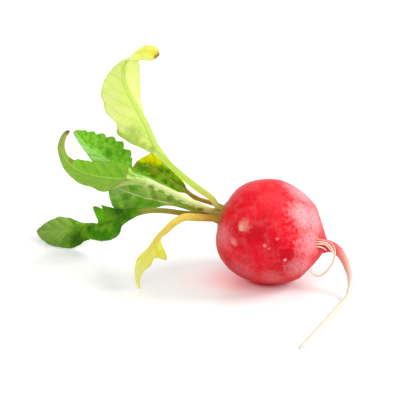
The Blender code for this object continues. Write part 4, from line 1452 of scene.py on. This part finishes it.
BROAD_LOOK = LeafFinish(
    blade=(96, 164, 14), mottled=(160, 214, 80), vein=(206, 232, 130), rib=(240, 250, 176),
    underside=(150, 200, 66), margin=(120, 140, 84), tip=(120, 140, 40), stalk=(178, 190, 70),
    stalk_base=(186, 140, 66), glow=(186, 234, 60), rib_edge=(88, 144, 10), rib_edge_strength=0.5,
    mottle_grain=2.6, mottle_low=0.3, mottle_high=0.7, vein_width=0.3, vein_strength=0.7,
    rib_strength=0.95, wrinkle=0.3, marks_and_painted_light=BROAD_SPOTS,
)

LOW_LOOK = LeafFinish(
    blade=(70, 138, 0), mottled=(128, 184, 26), vein=(140, 190, 56), rib=(108, 162, 16),
    underside=(116, 172, 24), margin=(112, 164, 16), tip=(126, 156, 50), stalk=(190, 186, 84),
    stalk_base=(164, 86, 50), glow=(140, 214, 0), rib_edge=(56, 108, 0), rib_edge_strength=0.5,
    glow_share=0.34, base_end=0.40, mottle_grain=5.0, vein_width=0.13, vein_strength=0.12,
    rib_strength=0.5, gloss=0.14, marks_and_painted_light=LOW_SPOTS,
)

WILTED_LOOK = LeafFinish(
    blade=(255, 255, 156), mottled=(255, 255, 214), vein=(254, 246, 130), rib=(255, 246, 166),
    underside=(255, 252, 156), margin=(254, 244, 120), tip=(254, 250, 146), stalk=(255, 224, 142),
    stalk_base=(216, 134, 74), glow=(255, 255, 176), rib_edge=(244, 226, 90),
    rib_edge_strength=0.4, glow_share=0.84, base_end=0.40, mottle_grain=2.0, wrinkle=0.34,
    vein_strength=0.25, marks_and_painted_light=WILTED_SPOTS,
)


def leaves() -> list[Leaf]:
    """The seven leaves, from the tallest to the wilted one."""
    return [
        grown_leaf(
            "tall", "pale_leaf", socket=(2.1, 0.1), radii=(0.95, 1.06, 0.35),
            facing=(0.0, -1.0, 0.0), stations=TALL_STATIONS, arch=0.05, vein_spacing=5.2,
            crinkle=0.10, ruffle=0.30, look=TALL_LOOK,
        ),
        grown_leaf(
            "cupped", "leaf_underside", socket=(0.8, -1.8), radii=(0.9, 1.15, 0.3),
            facing=(-0.1, 0.5, -1.2), stations=CUPPED_STATIONS, arch=-0.06, collar=0.537, lap=0.4,
            vein_spacing=3.6, pucker=0.18, crinkle=0.20, ruffle=0.40, look=CUPPED_LOOK,
        ),
        grown_leaf(
            "scalloped", "green_leaf", socket=(-0.2, 1.2), radii=(0.6, 0.7, 0.3),
            facing=(0.3, 0.9, -0.3), stations=SCALLOPED_STATIONS, arch=-0.06,
            teeth=(Teeth(Side.LEFT, 6, 13, 7, 0.16),), vein_spacing=3.4, pucker=0.30,
            crinkle=0.10, ruffle=0.20, look=SCALLOPED_LOOK,
        ),
        grown_leaf(
            "crinkled", "crinkled_leaf", socket=(1.3, 2.4), radii=(0.6, 0.7, 0.35),
            facing=(0.3, -0.2, 0.7), stations=CRINKLED_STATIONS, arch=0.08, wave=0.8,
            wave_length=5.5, vein_spacing=2.8, pucker=0.50, crinkle=0.34, ruffle=0.45, fray=0.10,
            look=CRINKLED_LOOK,
        ),
        grown_leaf(
            "broad", "broad_leaf", socket=(-0.9, 2.8), radii=(0.6, 0.68, 0.35),
            facing=(0.2, 0.4, 1.0), stations=BROAD_STATIONS, arch=0.10, wave=0.5, wave_length=6.5,
            vein_spacing=3.4, pucker=0.55, crinkle=0.20, ruffle=0.35, fray=0.09, look=BROAD_LOOK,
        ),
        grown_leaf(
            "low", "dark_leaf", socket=(-1.9, 0.9), radii=(0.6, 0.7, 0.35),
            facing=(0.1, 0.6, 0.8), stations=LOW_STATIONS, arch=0.12, pucker=0.45, crinkle=0.16,
            ruffle=0.35, look=LOW_LOOK,
        ),
        grown_leaf(
            "wilted", "yellow_leaf", socket=(-1.7, -1.5), radii=(1.0, 1.35, 0.35),
            facing=(-0.2, -0.6, 0.8), stations=WILTED_STATIONS, arch=0.05, vein_spacing=3.0,
            pucker=0.45, crinkle=0.40, ruffle=0.40, fray=0.09, look=WILTED_LOOK,
        ),
    ]


class SideRoots:
    """The side roots at the neck."""

    routes = {
        "side_root_long": (
            (
                (11.0, -10.5, 18.6), (13.4, -9.4, 17.6), (15.1, -8.0, 16.7), (17.3, -6.5, 15.6),
                (18.8, -6.1, 14.5), (19.7, -6.2, 13.1), (20.0, -6.5, 11.7), (19.7, -6.8, 10.0),
                (19.3, -6.9, 8.5), (18.3, -7.1, 6.6), (16.9, -7.3, 5.0), (15.3, -7.4, 4.1),
                (13.9, -7.4, 4.5), (12.9, -7.3, 5.4), (13.0, -7.2, 6.3),
            ),
            0.27, 0.24,
        ),
        "side_root_second": (
            (
                (11.4, -10.5, 17.7), (13.4, -9.5, 16.8), (15.1, -8.1, 16.0), (16.9, -6.8, 15.1),
                (18.2, -6.5, 14.1), (19.2, -6.5, 12.6), (19.6, -6.7, 11.4),
            ),
            0.24, 0.20,
        ),
        "side_root_third": (
            (
                (11.8, -10.2, 16.9), (13.4, -9.6, 16.0), (15.1, -8.2, 15.2), (16.7, -7.0, 14.6),
                (17.9, -6.7, 13.5), (18.8, -6.8, 12.3), (19.2, -6.8, 11.2),
            ),
            0.24, 0.20,
        ),
        "side_root_fourth": (
            (
                (12.2, -9.9, 15.9), (13.8, -9.3, 15.0), (15.2, -8.0, 14.2), (16.3, -7.1, 13.4),
                (17.3, -6.7, 12.4),
            ),
            0.24, 0.16,
        ),
    }

    def build(self) -> list[bpy.types.Object]:
        """Builds each side root."""
        return [
            SideRoot(name=name, route=route, thick=thick, thin=thin).build()
            for name, (route, thick, thin) in self.routes.items()
        ]


@dataclass(frozen=True)
class Softbox:
    """A square white light: its place in millimetres, its width in metres and its power."""

    name: str
    place: Triple
    width: float
    power: float


def aimed(place: Vector, target: Vector) -> Euler:
    """The turn of a lamp or a camera at a place that looks at a target."""
    return (target - place).to_track_quat("-Z", "Y").to_euler()


@dataclass(frozen=True)
class FloorFinish(Finish):
    """A smooth white sheet with painted shadow: a pink pool of painted shadow and painted red
    bounce light by the globe, and deep red painted shade right under it.

    Its own glow is seen by the camera and through the leaves only, so that it doesn't light
    the globe from below.
    """

    # The pool, the pink and the deep red by the globe are painted shadow and painted red bounce
    # light, both in the sheet's colour and in its glow
    pool: Triple = (-4.5, -1.5, 0.0)
    pool_stretch: Triple = (0.82, 1.35, 1.0)
    pool_fade: tuple[float, float] = (25.0, 5.0)
    shadow_pink_fade: tuple[float, float] = (15.0, 3.0)
    contact_shadow_fade: tuple[float, float] = (8.0, 4.0)
    glow: tuple[float, float] = (0.22, 0.28)
    tints: tuple = ((1.0, 0.97, 0.95, 1.0), (1.0, 0.42, 0.44, 1.0), (1.0, 0.04, 0.10, 1.0))
    whites: tuple = ((0.70, 0.70, 0.70, 1.0), (0.73, 0.73, 0.73, 1.0))
    shadow_pink: tuple = (0.80, 0.41, 0.42, 1.0)
    contact_shadow: tuple = (0.60, 0.01, 0.03, 1.0)

    def wire(self, graph: Graph, shader: bpy.types.Node) -> None:
        """Paints shadow and red bounce light onto the sheet, and sets its glow, by the distance
        from the globe's foot.
        """
        here = graph.millimetres()
        inputs = {0: here, 1: self.pool_stretch}
        place = graph.add("ShaderNodeVectorMath", inputs, operation="MULTIPLY").outputs["Vector"]
        gap = graph.apart(place, self.pool)
        # Painted shadow: the pink pool round the globe and the deep red right under it
        pool = graph.fade(gap, *self.pool_fade)
        under = graph.fade(graph.apart(here, (0.0, 0.0, 0.0)), *self.contact_shadow_fade)
        path = graph.add("ShaderNodeLightPath").outputs
        seen = graph.math("MAXIMUM", path["Is Camera Ray"], path["Is Transmission Ray"])
        # Painted light: the glow is stronger in the pool, pink there and deep red under the globe
        glow = graph.times(seen, graph.scaled(pool, *self.glow))
        far, near, below = self.tints
        paint = graph.mix(graph.noise(graph.millimetres(2.0), 2.0), *self.whites)
        # Painted shadow: pink paint near the globe, and deep red paint under it
        paint = graph.mix(graph.fade(gap, *self.shadow_pink_fade), paint, self.shadow_pink)
        looks = {
            "Base Color": graph.mix(under, paint, self.contact_shadow),
            "Roughness": 0.34,
            "Specular IOR Level": graph.scaled(under, 0.9, 0.1),
            "Emission Color": graph.mix(under, graph.mix(pool, far, near), below),
            "Emission Strength": graph.times(glow, graph.scaled(under, 1.0, 0.3)),
        }
        graph.fill(shader, looks)


@dataclass
class Studio:
    """The pale floor, the lights and the camera."""

    floor_width: float = 6.0
    floor_height: float = -0.00005
    eye: Triple = (-20.8925, -498.5423, 248.1320)
    target: Triple = (-20.8925, 3.9077, 24.4269)
    lens: float = 162.295
    finish: FloorFinish = field(default_factory=FloorFinish)
    world_strength: float = 0.56
    boxes: tuple = (
        Softbox("key", (710.0, 70.0, 520.0), 0.34, 7.4),
        Softbox("top", (120.0, 60.0, 950.0), 0.9, 0.6),
        Softbox("front", (-160.0, -640.0, 720.0), 0.8, 3.5),
        Softbox("back", (-300.0, 800.0, 420.0), 0.9, 1.4),
        Softbox("left", (-780.0, -220.0, 420.0), 0.6, 0.6),
    )

    def build(self) -> None:
        """Makes the stage."""
        self.floor()
        for box in self.boxes:
            self.light(box)
        self.camera()
        self.world()

    def floor(self) -> None:
        """Lays a smooth white sheet just under the radish."""
        bpy.ops.object.select_all(action="DESELECT")
        level = (0.0, 0.0, self.floor_height)
        bpy.ops.mesh.primitive_plane_add(size=self.floor_width, location=level)
        sheet = bpy.context.object
        sheet.name = "floor"
        bpy.ops.object.transform_apply(location=True, rotation=False, scale=False)
        sheet.data.materials.append(self.finish.material("floor_white"))

    def light(self, box: Softbox) -> None:
        """Hangs one softbox, facing the radish."""
        data = bpy.data.lights.new(box.name, "AREA")
        data.energy = box.power
        data.size = box.width
        lamp = bpy.data.objects.new(box.name, data)
        place = Vector(box.place) * MM
        lamp.location = place
        lamp.rotation_euler = aimed(place, Vector((0.0, 0.0, 0.02)))
        bpy.context.scene.collection.objects.link(lamp)

    def camera(self) -> None:
        """Sets the photograph's camera."""
        data = bpy.data.cameras.new("photo_camera")
        data.lens = self.lens
        data.sensor_width = 36.0
        data.clip_start = 0.01
        camera = bpy.data.objects.new("photo_camera", data)
        eye, target = Vector(self.eye) * MM, Vector(self.target) * MM
        camera.location = eye
        camera.rotation_euler = aimed(eye, target)
        bpy.context.scene.collection.objects.link(camera)
        bpy.context.scene.camera = camera

    def world(self) -> None:
        """A plain white surround and a plain view of its colours."""
        world = bpy.data.worlds.new("surround")
        world.use_nodes = True
        background = world.node_tree.nodes["Background"]
        background.inputs["Color"].default_value = (1.0, 1.0, 1.0, 1.0)
        background.inputs["Strength"].default_value = self.world_strength
        bpy.context.scene.world = world
        bpy.context.scene.view_settings.view_transform = "Standard"


def main() -> None:
    """Builds the radish from its root to its leaves, and then its stage."""
    logging.basicConfig(level=logging.INFO, format="%(name)s: %(message)s")
    RadishRoot().build()
    SideRoots().build()
    for leaf in leaves():
        leaf.build()
    Studio().build()


if __name__ == "__main__":
    main()
